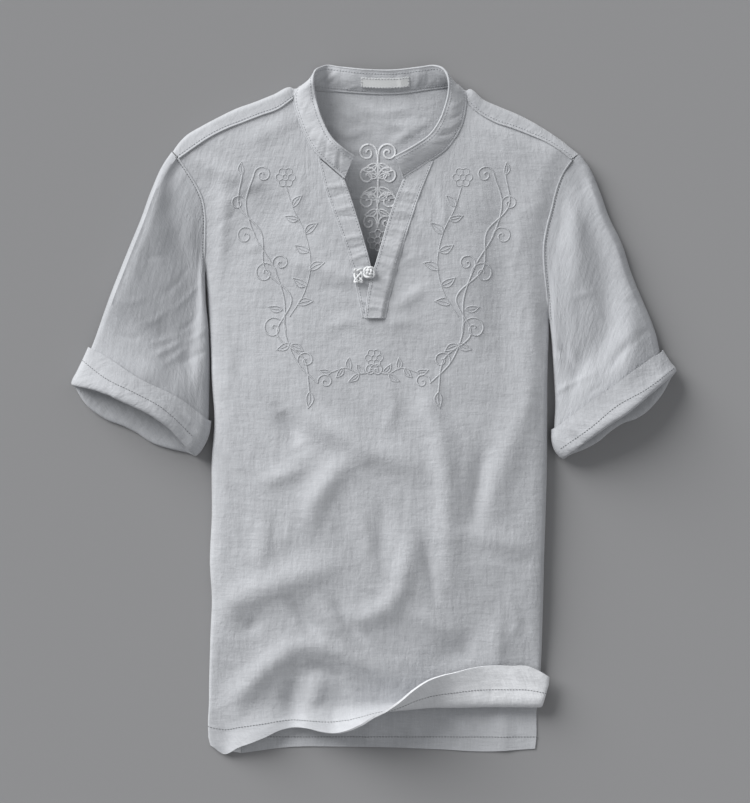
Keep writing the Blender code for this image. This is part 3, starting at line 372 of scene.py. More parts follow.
def clothPlaces(points):
    # how far along the cloth each point is, across and up, in millimetres
    acrossSteps = np.linalg.norm(np.diff(points[..., :3], axis=1), axis=2)
    upSteps = np.linalg.norm(np.diff(points[..., :3], axis=0), axis=2)
    u = np.concatenate([np.zeros((points.shape[0], 1)), np.cumsum(acrossSteps, axis=1)], axis=1)
    v = np.concatenate([np.zeros((1, points.shape[1])), np.cumsum(upSteps, axis=0)], axis=0)
    middle = points.shape[1] // 2
    return u - u[:, middle : middle + 1], v


def addMesh(name, vertices, faces, uvs, sides, materials):
    vertices = np.asarray(vertices, float)
    vertices[:, 2] = np.maximum(vertices[:, 2], 0.05)
    vertices = (vertices + np.array(shirt["toOrigin"])) * mm
    mesh = bpy.data.meshes.new(name)
    mesh.from_pydata(vertices.tolist(), [], faces.tolist())
    layer = mesh.uv_layers.new(name="clothUV")
    layer.data.foreach_set("uv", (np.asarray(uvs, float) * mm).reshape(-1).astype(np.float32))
    for item in materials:
        mesh.materials.append(item)
    if len(materials) > 1:
        mesh.polygons.foreach_set("material_index", np.asarray(sides, np.int32))
    mesh.polygons.foreach_set("use_smooth", [True] * len(faces))
    mesh.update()
    mesh.set_sharp_from_angle(angle=math.radians(48))
    made = bpy.data.objects.new(name, mesh)
    bpy.context.scene.collection.objects.link(made)
    return made


def shell(name, points, wall, materials, present=None, ring=False, places=None):
    # a wall of cloth round a grid: right side, wrong side and the cut edges
    points = np.asarray(points, float)[..., :3]
    rows, columns = points.shape[:2]
    across = columns if ring else columns - 1
    if present is None:
        present = np.ones((rows - 1, across), bool)
    normals = gridNormals(points, present, ring)
    half = (np.broadcast_to(wall, (rows, columns)) / 2)[..., None]
    layers = [(points + normals * half).reshape(-1, 3), (points - normals * half).reshape(-1, 3)]
    vertices = np.concatenate(layers)
    if places is None:
        wide = np.concatenate([points, points[:, :1]], axis=1) if ring else points
        places = clothPlaces(wide)
    u, v = places
    i, j = np.nonzero(present)
    k = (j + 1) % columns if ring else j + 1
    a, b, c, d = i * columns + j, i * columns + k, (i + 1) * columns + k, (i + 1) * columns + j
    spots = [(i, j), (i, j + 1), (i + 1, j + 1), (i + 1, j)]
    uv = np.stack([np.stack([u[s], v[s]], axis=1) for s in spots], axis=1)
    count = rows * columns
    faces = [np.stack([a, b, c, d], axis=1), np.stack([d, c, b, a], axis=1) + count]
    uvs = [uv, uv[:, ::-1]]
    sides = [np.zeros(len(i), int), np.ones(len(i), int)]
    framed = np.pad(present, 1)
    if ring:
        framed[1:-1, 0], framed[1:-1, -1] = present[:, -1], present[:, 0]
    corners = [a, b, c, d]
    for way, (di, dj) in enumerate(((-1, 0), (0, 1), (1, 0), (0, -1))):
        free = ~framed[i + 1 + di, j + 1 + dj]
        start, end = corners[way][free], corners[(way + 1) % 4][free]
        faces.append(np.stack([end, start, start + count, end + count], axis=1))
        ends = np.stack([uv[free, (way + 1) % 4], uv[free, way]], axis=1)
        uvs.append(np.concatenate([ends, ends[:, ::-1]], axis=1))
        sides.append(np.ones(int(free.sum()), int))
    faces, uvs, sides = np.concatenate(faces), np.concatenate(uvs), np.concatenate(sides)
    used, index = np.unique(faces, return_inverse=True)
    return addMesh(name, vertices[used], index.reshape(faces.shape), uvs, sides, materials)


# Seams of the shoulders and the neck

leftShoulder = [
    (-223.7, 288.6), (-214.5, 301.3), (-193.2, 315.8), (-178.6, 323.7),
    (-152.3, 336.6), (-126.0, 346.0), (-98.6, 357.3), (-91.5, 359.8),
]
rightShoulder = [
    (228.8, 285.5), (208.8, 301.3), (188.7, 314.7), (168.2, 326.3),
    (145.0, 336.5), (129.4, 342.7), (117.0, 350.0), (106.5, 358.0),
]
leftSeam = [(-217.4, 281.5), (-175.3, 309.1), (-128.2, 328.2), (-95.0, 343.2), (-90.1, 348.0)]
rightSeam = [(221.0, 280.4), (197.7, 296.8), (159.0, 313.6), (126.5, 325.8), (106.4, 341.8)]

# x and y of the seam, top layer (1) or bottom one (0), x and y of the collar's free edge
neckRows = [
    (-31.9, 258.2, 1.0, -21.8, 281.1),
    (-51.0, 275.0, 1.0, -36.4, 291.5),
    (-59.4, 282.5, 1.0, -43.5, 298.0),
    (-65.5, 289.0, 1.0, -48.7, 304.6),
    (-76.7, 308.4, 1.0, -56.6, 320.3),
    (-84.6, 329.3, 1.0, -62.2, 336.5),
    (-87.9, 340.5, 1.0, -64.6, 346.0),
    (-87.6, 348.0, 1.0, -66.0, 354.5),
    (-85.7, 355.5, 0.97, -67.0, 362.0),
    (-80.8, 361.6, 0.50, -67.0, 369.0),
    (-73.4, 361.4, 0.10, -65.0, 376.5),
    (-64.4, 358.6, 0.0, -57.5, 383.0),
    (-38.6, 356.7, 0.0, -36.4, 382.7),
    (-14.0, 355.0, 0.0, -14.0, 379.9),
    (7.3, 353.9, 0.0, 7.3, 378.8),
    (35.3, 355.0, 0.0, 31.9, 379.7),
    (53.2, 357.6, 0.0, 52.0, 382.0),
    (77.5, 360.8, 0.0, 71.5, 383.0),
    (88.0, 362.6, 0.10, 79.5, 378.6),
    (96.0, 361.0, 0.50, 83.0, 370.0),
    (101.6, 353.5, 0.97, 84.0, 361.5),
    (103.0, 344.0, 1.0, 83.6, 353.0),
    (102.6, 338.5, 1.0, 82.6, 347.0),
    (100.6, 327.0, 1.0, 79.6, 336.5),
    (96.4, 314.0, 1.0, 75.4, 325.0),
    (90.8, 303.5, 1.0, 70.0, 315.0),
    (80.0, 290.0, 1.0, 61.6, 304.5),
    (64.4, 278.9, 1.0, 50.0, 296.0),
    (52.1, 271.0, 1.0, 40.0, 290.0),
    (33.0, 258.7, 1.0, 24.1, 281.6),
]
leftBandCorner, leftNeckCorner, rightNeckCorner, rightBandCorner = 2, 7, 21, 27


def seamPoints(side):
    seam = leftSeam if side == "left" else rightSeam
    length = lengthsAlong(seam)[-1]
    shares = [0, 1.6 / length, 5.5 / length] + [k / 7 for k in range(1, 8)]
    flat = curveAt(seam, shares)
    return np.column_stack([flat, frontHeight(flat[:, 0], flat[:, 1])])


def neckPoints():
    table = np.array(neckRows, float)
    x, y, level = table[:, 0], table[:, 1], table[:, 2]
    low = shirt["floorHeight"] + 0.6
    return np.column_stack([x, y, low + level * (frontHeight(x, y) - low)])


def outward(points, by):
    # the neck's points moved away from the collar, along the panels
    table = np.array(neckRows, float)
    away = points[:, :2] - table[:, 3:5]
    away /= np.linalg.norm(away, axis=1, keepdims=True)
    moved = points.copy()
    moved[:, :2] += away * by
    return moved


# Front

front = {
    "leftArmholeRows": [102, 128, 154.6, 175, 196, 216, 234, 250, 266, 281],
    "rightArmholeRows": [102, 122, 142, 162, 182, 203, 224, 244, 263, 280],
    "rows": [-326, -318, -306, -292, -277, -262, -247, -231, -215, -199, -183, -167, -151, -134, -117,
             -100, -83, -66, -49, -32, -15, 2, 20, 40, 61, 82, 102],
    "neckTuck": 0.4,  # how near the collar's seam the panels end
    "hemFold": 11.0,  # width of the sewn hem
    "hemExtra": 0.7,  # its added thickness
    "stripTurn": (58.0, 51.0, 49.0),  # length that turns on the left strip
    "flare": 9,  # how far the turned hem's right end widens
    "flat": (0.46, 0.74),
    "area": 0.283,
}

# columns of the front's grid: both side folds at their top, both edges of the slit
leftFold, leftSlit, rightSlit, rightFold = 3, 16, 18, 31

# along the hem: degrees that it is turned up, and the length that turns
hemColumns = ("x", "turn", "length")
hemRows = [
    (-184, 0, 48), (-174, 0, 58), (-164, 0, 58.6), (-147, 10, 49.2), (-131, 15, 44.6), (-101, 15, 31.1),
    (-83, 22, 29.1), (-49, 32, 37.2), (-23, 61, 44), (1, 88, 50), (20, 101.5, 50), (37, 121.5, 52),
    (57, 144, 52.5), (88, 168, 51.9), (114, 176, 56.4), (156, 179, 56.9), (176, 179, 54), (187, 179, 44.1),
]


def sideColumns(side, y, turned, lap):
    edge, radius = bodyAt(side, y), bodyAt(side + "Radius", y)
    sign = 1 if side == "left" else -1
    low = shirt["floorHeight"]
    points = [(edge + sign * lap, y, low)]
    for degrees in (-90, -45, 0, 45, 90):
        angle = math.radians(degrees)
        z = turned * (low + radius * (1 + math.sin(angle))) + (1 - turned) * (low + 2 * radius)
        points.append((edge + sign * radius * (1 - math.cos(angle)), y, z))
    return points


def turnedShare(side, y):
    foot = 154.6 if side == "left" else 102.0
    return 1 - ease((np.asarray(y, float) - foot) / 18)


def hemPoints(first):
    # the lowest stretch of the front, bent up along its width
    strip, hemBend = shirt["strip"], shirt["hemBend"]
    xs = np.array([p[0] for p in first])
    turn = np.radians(np.maximum(columnAt(hemRows, hemColumns, "x", "turn", xs), 0))
    length = columnAt(hemRows, hemColumns, "x", "length", xs)
    turn[:3] = 0
    length[:3] = front["stripTurn"]
    rows = []
    for share in (1.0, 0.72, 0.45, 0.0, -0.75, -0.5, -0.25):
        row = []
        for j, (x, y, z) in enumerate(first):
            reach = hemBend + (length[j] - hemBend) * share if share >= 0 else -hemBend * share
            bent = min(reach, hemBend)
            down, up = reach, 0.0
            if turn[j] >= 0.02:
                radius = hemBend / turn[j]
                down = radius * math.sin(bent / radius) + (reach - bent) * math.cos(turn[j])
                up = radius * (1 - math.cos(bent / radius)) + (reach - bent) * math.sin(turn[j])
            flatY = y - reach
            if j < 6:
                low = sideColumns("left", flatY, 1.0, strip)[j]
                place = (low[0] if j else x, y - down, low[2] + up)
            else:
                steady = min(1.0, turn[j] / 0.7)
                low = z * steady + (1 - steady) * float(frontHeight(x, flatY))
                flare = front["flare"] * ease((x - 150) / 40) * ease(reach / length[j])
                place = (x + flare * (j <= rightFold), y - down, low + up)
            row.append(place + (flatY,))
        rows.append(row)
    return rows


def frontGrid():
    slitLeft, slitRight, strip = shirt["slitLeft"], shirt["slitRight"], shirt["strip"]
    middle = (slitLeft + slitRight) / 2

    def levelRow(y):
        left = sideColumns("left", y, 1.0, strip)
        right = sideColumns("right", y, 1.0, strip)[::-1]
        xs = np.linspace(left[-1][0], slitLeft, 12)[1:-1].tolist() + [slitLeft, middle, slitRight]
        xs += np.linspace(slitRight, right[0][0], 12)[1:-1].tolist()
        return left + [(x, y, float(frontHeight(x, y))) for x in xs] + right

    flap = hemPoints(levelRow(shirt["hemTop"]))
    lower = [levelRow(y) for y in front["rows"]]
    neck = outward(neckPoints(), front["neckTuck"])
    halves = []
    for side in ("left", "right"):
        rows = front[side + "ArmholeRows"]
        if side == "left":
            foot = lower[-1][leftFold : leftSlit + 1]
            collar = neck[leftBandCorner:leftNeckCorner][::-1]
            slit = [(slitLeft, 102), (-20.0, 140), (-33.5, 190), (-51.5, 240), tuple(collar[-1][:2])]
        else:
            foot = lower[-1][rightSlit : rightFold + 1][::-1]
            collar = neck[rightNeckCorner + 1 : rightBandCorner + 1]
            slit = [(slitRight, 102), (23.0, 145), (35.0, 190), (51.5, 240), tuple(collar[-1][:2])]
        seam = seamPoints(side)[:, :2]
        top = np.vstack([seam, curveAt(np.vstack([seam[-1], collar[:, :2]]), np.linspace(0, 1, 5)[1:])])
        outline = [(bodyAt(side, y), y) for y in rows[:-1]] + [tuple(seam[0])]
        flat = patch([p[:2] for p in foot], top, outline, curveAt(slit, np.linspace(0, 1, len(rows))))
        grid = np.dstack([flat, frontHeight(flat[..., 0], flat[..., 1])])
        for i, y in enumerate(rows):
            turned = turnedShare(side, y)
            fold = sideColumns(side, y, turned, strip)
            for j in range(2):
                grid[i, j, 2] = turned * fold[3 + j][2] + (1 - turned) * grid[i, j, 2]
        grid[0, :, 2] = [p[2] for p in foot]
        under = [sideColumns(side, y, 1.0, strip)[:3] for y in rows]
        halves.append(np.concatenate([np.array(under), grid], axis=1))
    upper = []
    for i in range(1, len(front["leftArmholeRows"])):
        spare = np.array([[middle, 102.0 + 20 * i, float(frontHeight(middle, 102 + 20 * i))]])
        upper.append(np.vstack([halves[0][i], spare, halves[1][i][::-1]]))
    rest = np.array(lower + upper)
    rest = np.concatenate([rest, rest[..., 1:2]], axis=2)
    points = np.concatenate([np.array(flap), rest])
    present = np.ones((points.shape[0] - 1, points.shape[1] - 1), bool)
    seamRow = len(flap) + len(lower) - 1
    present[: len(flap), rightFold:] = False
    present[seamRow:, leftSlit:rightSlit] = False
    present[seamRow + 2 :, :leftFold] = False
    present[seamRow:, rightFold:] = False
    return points, present, len(flap), seamRow


def frontCloth(materials):
    coarse, present, flapRows, seamRow = frontGrid()
    fine, rowAt, acrossAt = finer(coarse, breaks=(leftSlit, rightSlit))
    mask = finerMask(present, rowAt, acrossAt)
    x, y, flatY = fine[..., 0], fine[..., 1], fine[..., 3]
    inner = ease(np.minimum(acrossAt - 4.6, 29.4 - acrossAt) / 1.2)[None, :]
    above = (rowAt[:, None] >= seamRow) * 1.0
    atSide = np.where(acrossAt[None, :] < 17, 1 - turnedShare("left", y), 1 - turnedShare("right", y))
    outside = (acrossAt[None, :] >= leftFold) & (acrossAt[None, :] <= rightFold)
    weight = np.maximum(inner, above * atSide * outside)
    resting = (rowAt[:, None] >= flapRows) * 1.0
    height = frontHeight(x, y)
    fine[..., 2] += (height - fine[..., 2]) * weight * resting
    normals = gridNormals(fine[..., :3], mask)
    rise = creaseHeight(frontCreases, x, flatY) * weight
    normals = normals * (1 - resting[..., None]) + np.array([0, 0, 1.0]) * resting[..., None]
    fine[..., :3] += normals * rise[..., None]
    u = clothPlaces(fine)[0]
    reach = flatY - flatY[0:1]
    thick = shirt["wall"] + front["hemExtra"] * (1 - ease((reach - front["hemFold"]) / 1.2))
    made = shell("frontCloth", fine, thick, materials, present=mask, places=(u, flatY))
    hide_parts("front")
    return made, fine, mask, flatY, np.broadcast_to(thick, flatY.shape)


# Back

back = {
    "hem": [(-150, -384.4), (-122, -381.0), (-96, -377.4), (-49, -376.8), (7, -377.4),
            (119, -381.9), (160, -383.6), (177, -383.2), (182, -378.0)],
    "hemY": [-366.0, -350.0, -338.0, -329.0, -327.2],
    "armholeFeet": (158, 106),  # left, right
    "creases": [
        (2.6, 9, (142, -330), (145, -352), (147, -384)),
        (1.2, 5, (96, -340), (100, -378)),
        (1.0, 5, (40, -348), (44, -380)),
        (1.2, 5, (-6, -352), (-8, -378)),
        (1.3, 6, (-60, 205), (-34, 222), (-10, 214)),
        (1.2, 6, (10, 226), (40, 218)),
    ],
    "flat": (0.42, 0.63),
    "area": 0.196,
}


def backGrid():
    strip, gap = shirt["strip"], 0.5
    rows = back["hemY"] + [y for y in front["rows"] if y > -325]
    lefts = [(bodyAt("left", max(y, shirt["hemTop"])) + strip + gap, y) for y in rows]
    rights = [(182.4, y) if y < -328 else (bodyAt("right", y) - strip - gap, y) for y in rows]
    lefts += [(bodyAt("left", 128) + strip + gap, 128), (bodyAt("left", 154.6) + strip + gap, 155.6)]
    lefts += [(-187.4, 159.0), (-190.5, 176.0), (-192.5, 196.0), (-195.5, 216.0), (-199.5, 236.4)]
    rights[-1] = (bodyAt("right", 102) - strip - gap, 103.0)
    rights += [(194.6, 106.6), (192.2, 130.0), (190.5, 155.0), (191.0, 178.0)]
    rights += [(194.5, 198.0), (198.5, 217.0), (203.6, 236.4)]
    share = np.linspace(0, 1, 7)[:, None]
    grid = []
    for left, right in zip(lefts, rights):
        flat = np.array(left) * (1 - share) + np.array(right) * share
        grid.append(np.column_stack([flat, np.full(7, shirt["floorHeight"])]))
    hem = grid[0].copy()
    hem[:, 0] = np.linspace(lefts[0][0], 181.0, 7)
    hem[:, 1] = columnAt(back["hem"], ("x", "y"), "x", "y", hem[:, 0])
    return np.array([hem] + grid)


def backCloth(materials):
    coarse = backGrid()
    fine = finer(coarse, step=3.6, rowStep=3.0)[0]
    fine[..., 2] += np.maximum(foldHeight(back["creases"], fine[..., 0], fine[..., 1]), 0)
    made = shell("backCloth", fine, shirt["wall"], materials)
    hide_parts("back")
    return made, coarse, fine


# Yoke

yoke = {
    "backSeam": 237.4,
    "backEnds": [-199.5, 203.6],
    "flat": (0.46, 0.15),
    "area": 0.050,
    "creases": [
        (1.7, 5, (-54, 320), (-30, 307), (-8, 313)),
        (1.5, 6, (-20, 339), (10, 331), (40, 337)),
        (1.6, 4.5, (22, 299), (40, 311), (60, 322)),
        (1.3, 4, (-44, 297), (-24, 290), (-6, 292)),
        (1.4, 5, (6, 321), (34, 317), (48, 324)),
        (1.1, 4, (26, 281), (46, 290)),
        (1.3, 4, (-40, 334), (-18, 325)),
        (1.0, 3.5, (-26, 276), (-6, 280)),
    ],
}


def yokeLine(base, fold, end, level):
    radius, low = shirt["shoulderRadius"], shirt["floorHeight"]
    stop = math.asin(np.clip(2 * level - 1, -1, 1))
    if np.isnan(fold[0]):
        toward = end[:2] - np.array([base[0], yoke["backSeam"]])
        toward /= np.linalg.norm(toward)
        fold = end[:2] + toward * radius * (1 - math.cos(stop)) * (level > 0)
    else:
        toward = (fold - end[:2]) / np.linalg.norm(fold - end[:2])
    angles = [a for a in np.linspace(-math.pi / 2, math.pi / 2, 9) if a < stop - 0.05] + [stop]
    path = [(base[0], base[1], low)]
    if level > 0:
        for angle in angles:
            flat = fold - toward * radius * (1 - math.cos(angle))
            path.append((flat[0], flat[1], low + radius * (1 + math.sin(angle))))
    if level >= 1 or level <= 0:
        path.append(tuple(end))
    path = np.array(path)
    reach = np.concatenate([[0.0], np.cumsum(np.linalg.norm(np.diff(path, axis=0), axis=1))])
    top = max(6.0, float(np.linalg.norm(end[:2] - fold)) - radius) if level >= 1 else 6.0
    backward = [0, top / 2, top] + [top + math.pi * radius * k / 8 for k in range(1, 9)]
    rest = reach[-1] - backward[-1]
    backward += [backward[-1] + rest * k for k in (0.12, 0.34, 0.62, 0.84, 1.0)]
    at = reach[-1] - np.array(backward)[::-1]
    return np.column_stack([np.interp(at, reach, path[:, k]) for k in range(3)])


def yokeGrid(tuck, lap):
    neck = outward(neckPoints(), tuck)
    table = np.array(neckRows, float)
    ends, folds, levels = [], [], []
    for side in ("left", "right"):
        seam = seamPoints(side)
        reach = lengthsAlong(seam[:, :2])
        fold = curveAt(leftShoulder if side == "left" else rightShoulder, reach / reach[-1])
        toward = fold - seam[:, :2]
        toward /= np.linalg.norm(toward, axis=1, keepdims=True)
        seam[:, :2] -= toward * lap
        seam[:, 2] += 0.9
        order = slice(None) if side == "left" else slice(None, None, -1)
        ends.append(seam[order])
        folds.append(fold[order])
        levels.append(np.ones(len(seam)))
    between = slice(leftNeckCorner + 1, rightNeckCorner)
    ends.insert(1, neck[between])
    folds.insert(1, np.full((len(neck[between]), 2), np.nan))
    levels.insert(1, table[between, 2])
    end, fold, level = np.vstack(ends), np.vstack(folds), np.concatenate(levels)
    baseX = np.interp(end[:, 0], [end[0, 0], end[-1, 0]], yoke["backEnds"])
    base = np.column_stack([baseX, np.full(len(end), yoke["backSeam"])])
    return np.stack([yokeLine(base[j], fold[j], end[j], level[j]) for j in range(len(end))], axis=1)


def yokeCloth(materials):
    fine = finer(yokeGrid(front["neckTuck"], 1.0))[0]
    onBack = fine[..., 2] < 6
    fine[..., 2] += np.maximum(foldHeight(yoke["creases"], fine[..., 0], fine[..., 1]), 0) * onBack
    made = shell("yokeCloth", fine[:, ::-1], shirt["wall"], materials)
    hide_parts("yoke")
    return made


# Sleeves

leftSleeve = {
    "outer": [(-224.6, 288.3), (-232.0, 278.0), (-244.7, 252.0), (-254.8, 224.0), (-272.7, 180.3),
              (-292.9, 129.9), (-311.5, 76.0), (-333.5, 29.0)],
    "inner": [(-189.0, 154.6), (-188.2, 122.0), (-184.9, 93.0), (-183.6, 62.0), (-183.9, 32.0),
              (-184.5, 5.0), (-185.5, -18.0), (-189.0, -34.0), (-200.0, -48.0)],
    "mouthTop": [(-333.5, 29.0), (-297.0, 20.0), (-274.0, 9.5), (-251.0, -1.0), (-232.0, -13.0),
                 (-200.0, -48.0)],
    "mouthBottom": [(-333.5, 29.0), (-322.0, 10.0), (-299.0, -8.0), (-271.0, -19.0), (-250.0, -33.0),
                    (-200.0, -48.0)],
    "folds": [
        (-5.6, 11, (-217, 285), (-221, 250), (-223, 222), (-220, 188), (-211, 158), (-203, 125)),
        (-1.8, 9, (-228, 226), (-227, 196)),
        (1.6, 12, (-237, 259), (-250, 229), (-262, 193), (-275, 160), (-290, 125)),
        (-2.0, 8, (-252, 158), (-243, 134)),
        (-1.6, 8, (-239, 94), (-236, 71)),
        (-2.2, 9, (-229, 60), (-217, 31)),
        (2.8, 9, (-260, 66), (-247, 49), (-234, 28)),
        (2.6, 8, (-204, 21), (-191, 33), (-181, 49)),
    ],
    "creases": [
        (-1.3, 2.8, (-245, 60), (-231, 64), (-218, 71)),
        (-0.9, 2.4, (-250, 73), (-236, 76), (-223, 79)),
        (-1.1, 2.6, (-236, 46), (-222, 55), (-210, 65)),
        (-0.9, 2.6, (-263, 92), (-246, 99), (-231, 111)),
        (1.1, 3.0, (-218, 46), (-200, 58), (-186, 68)),
        (-0.8, 2.6, (-223, 110), (-206, 122), (-192, 137)),
        (0.8, 2.6, (-230, 126), (-214, 142), (-206, 160)),
        (-1.5, 3.0, (-218, 263), (-212, 251)),
        (0.7, 2.6, (-258, 176), (-246, 166), (-232, 168)),
        (-0.7, 2.6, (-276, 120), (-262, 118), (-250, 124)),
        (0.7, 2.6, (-286, 84), (-270, 78), (-258, 82)),
        (0.8, 2.4, (-222, 84), (-206, 94), (-194, 108)),
        (-0.8, 2.4, (-214, 70), (-200, 80), (-190, 92)),
        (1.8, 3.0, (-212, -6), (-200, -22), (-196, -36)),
        (-2.0, 3.0, (-204, -4), (-194, -18), (-190, -30)),
        (1.4, 2.6, (-226, -4), (-214, -20), (-208, -36)),
        (-1.2, 2.6, (-240, 8), (-236, -8), (-228, -20)),
        (0.8, 2.6, (-292, 28), (-286, 12)),
    ],
    "turnUp": [(0.0, 44), (0.35, 30), (0.7, 31), (1.0, 40)],
    "flat": (0.33, 0.25),
    "area": 0.074,
}
rightSleeve = {
    "outer": [(229.9, 285.0), (240.0, 271.0), (253.7, 240.8), (260.0, 222.0), (276.1, 188.2),
              (290.6, 144.5), (306.3, 108.0), (316.0, 80.0), (320.0, 64.0), (334.5, 43.0)],
    "inner": [(197.4, 101.9), (200.4, 75.0), (202.0, 48.0), (203.6, 20.0), (203.6, -4.0),
              (202.4, -26.0), (204.0, -42.0), (213.0, -51.0)],
    "mouthTop": [(334.5, 43.0), (306.0, 19.5), (280.6, -2.0), (260.0, -15.0), (240.0, -30.0), (213.0, -51.0)],
    "mouthBottom": [(334.5, 43.0), (318.0, 14.5), (298.0, -5.0), (274.0, -15.0), (245.0, -37.0),
                    (213.0, -51.0)],
    "folds": [
        (2.6, 10, (206, 262), (216, 235), (226, 196), (225, 150), (212, 122)),
        (-6.8, 15, (226, 270), (238, 240), (249, 190), (259, 147), (263, 96), (256, 44)),
        (3.6, 14, (262, 240), (274, 200), (285, 160), (292, 100), (280, 36)),
        (2.0, 6, (220, 112), (224, 76), (219, 36), (214, 4)),
    ],
    "creases": [
        (-1.3, 2.8, (198, 62), (208, 56), (216, 46)),
        (1.3, 2.8, (200, 74), (210, 65), (218, 52)),
        (-1.0, 2.6, (205, 86), (214, 76), (221, 62)),
        (-1.0, 2.8, (202, 20), (212, 24), (221, 31)),
        (1.4, 3.4, (204, 10), (208, 0), (210, -12)),
        (1.0, 2.6, (287, 80), (298, 82), (307, 87)),
        (1.9, 5.0, (262, 44), (270, 56), (288, 74)),
        (-0.9, 2.6, (221, 126), (236, 128), (250, 130)),
        (-0.8, 2.4, (210, 20), (226, 32), (245, 42)),
        (0.7, 2.6, (262, 128), (276, 118), (290, 116)),
        (-0.8, 2.6, (250, 96), (262, 84), (270, 70)),
        (0.8, 2.6, (226, 256), (234, 246)),
        (-0.7, 2.6, (246, 232), (256, 214)),
        (0.7, 2.4, (244, 20), (256, 26)),
        (-1.6, 3.0, (214, -30), (222, -40), (226, -50)),
        (1.6, 3.0, (222, -22), (232, -36)),
        (1.2, 2.4, (206, -30), (212, -44)),
    ],
    "turnUp": [(0.0, 27), (0.35, 32), (0.7, 32), (1.0, 33)],
    "flat": (0.33, 0.24),
    "area": 0.071,
}
sleeveColumns = ("along", "crown", "outerRadius", "innerRadius")
sleeveRows = [
    (0.00, 5.0, 5.5, 4.0), (0.20, 12.0, 5.0, 4.0), (0.50, 14.4, 4.5, 4.0),
    (0.75, 13.8, 4.5, 4.0), (0.90, 15.0, 4.5, 4.2), (1.00, 19.0, 4.5, 4.5),
]
# share of the crown across a sleeve, from its outer edge to its inner one
sectionColumns = ("across", "left", "right")
sectionRows = [
    (0.0, 0.0, 0.0), (0.025, 0.96, 0.30), (0.06, 1.08, 0.50), (0.13, 1.08, 0.66), (0.28, 0.84, 0.72),
    (0.42, 0.56, 0.60), (0.56, 0.28, 0.48), (0.68, 0.07, 0.46), (0.80, 0.26, 0.46), (0.92, 0.44, 0.38),
    (1.0, 0.0, 0.0),
]
sleeveStations = [0, 0.07, 0.17, 0.29, 0.42, 0.54, 0.65, 0.75, 0.83, 0.9, 0.96, 1.0]
turnRadius = 1.8
armAlong = (0.965, -0.263)  # way along the right sleeve; the left one has -x


def sleeveGrid(sizes, sign, frontEdge, yokeEdge, backEdge):
    widest = int(np.argmax(np.abs(yokeEdge[:, 0] - yokeEdge[:, 1] * sign)))
    top = np.vstack([frontEdge, yokeEdge[:widest:-1], yokeEdge[widest : widest + 1]])[::-1]
    bottom = np.vstack([yokeEdge[: widest + 1][::-1], backEdge[::-1]])
    foot = frontEdge[0]

    def withEnd(line):
        near = np.linalg.norm(line[-1] - foot) <= 0.5
        last = line[-2] if near else line[-1]
        kept = line[:-1] if near else line
        return np.vstack([kept, [last + (foot - last) * 0.8], [foot]])

    top, bottom = withEnd(top), withEnd(bottom)
    top = np.vstack([top[:1], top[:1] * 0.66 + top[1:2] * 0.34, top[1:]])
    away = np.array([sign * armAlong[0], armAlong[1], 0.0]) * 1.5
    shares = np.array(sleeveStations)
    layers = []
    for line, mouth, isTop in ((top, sizes["mouthTop"], True), (bottom, sizes["mouthBottom"], False)):
        line = line + away
        line[0, :2], line[-1, :2] = sizes["outer"][0], sizes["inner"][0]
        reach = lengthsAlong(line)
        u = reach / reach[-1]
        outer, inner = curveAt(sizes["outer"], shares), curveAt(sizes["inner"], shares)
        flat = patch(line[:, :2], curveAt(mouth, u), outer, inner)
        grid = np.zeros(flat.shape[:2] + (3,))
        grid[..., :2] = flat
        for i, along in enumerate(shares):
            crown = columnAt(sleeveRows, sleeveColumns, "along", "crown", along)
            width = np.linalg.norm(flat[i, 0] - flat[i, -1])
            radii = [columnAt(sleeveRows, sleeveColumns, "along", k, along) for k in sleeveColumns[2:]]
            radius = radii[0] * (1 - u) + radii[1] * u
            near = np.minimum(u, 1 - u) * width
            floor = shirt["floorHeight"] + 2 * turnRadius * ease((along - 0.55) / 0.25)
            curl = np.sqrt(np.maximum(radius**2 - (radius - np.minimum(near, radius)) ** 2, 0))
            z = floor + radius - curl
            if isTop:
                openEnd = ease((along - 0.62) / 0.2)
                section = columnAt(sectionRows, sectionColumns, "across", "left" if sign < 0 else "right", u)
                dome = 1 - np.abs(2 * u - 1) ** 2.2
                z = floor + radius + curl + crown * (section * (1 - openEnd) + dome * openEnd)
                z += foldHeight(sizes["folds"], flat[i, :, 0], flat[i, :, 1]) * ease(near / 20)
            blend = ease(along / 0.2)
            grid[i, :, 2] = (1 - blend) * line[:, 2] + blend * z
        layers.append(grid)
    ring = np.concatenate([layers[0], layers[1][:, 1:-1][:, ::-1]], axis=1)
    topShares = lengthsAlong(top) / lengthsAlong(top)[-1]
    bottomShares = (lengthsAlong(bottom) / lengthsAlong(bottom)[-1])[1:-1][::-1]
    across = np.concatenate([topShares, bottomShares])
    return np.concatenate([ring, turnUpRows(ring, across, sizes)]), len(top)


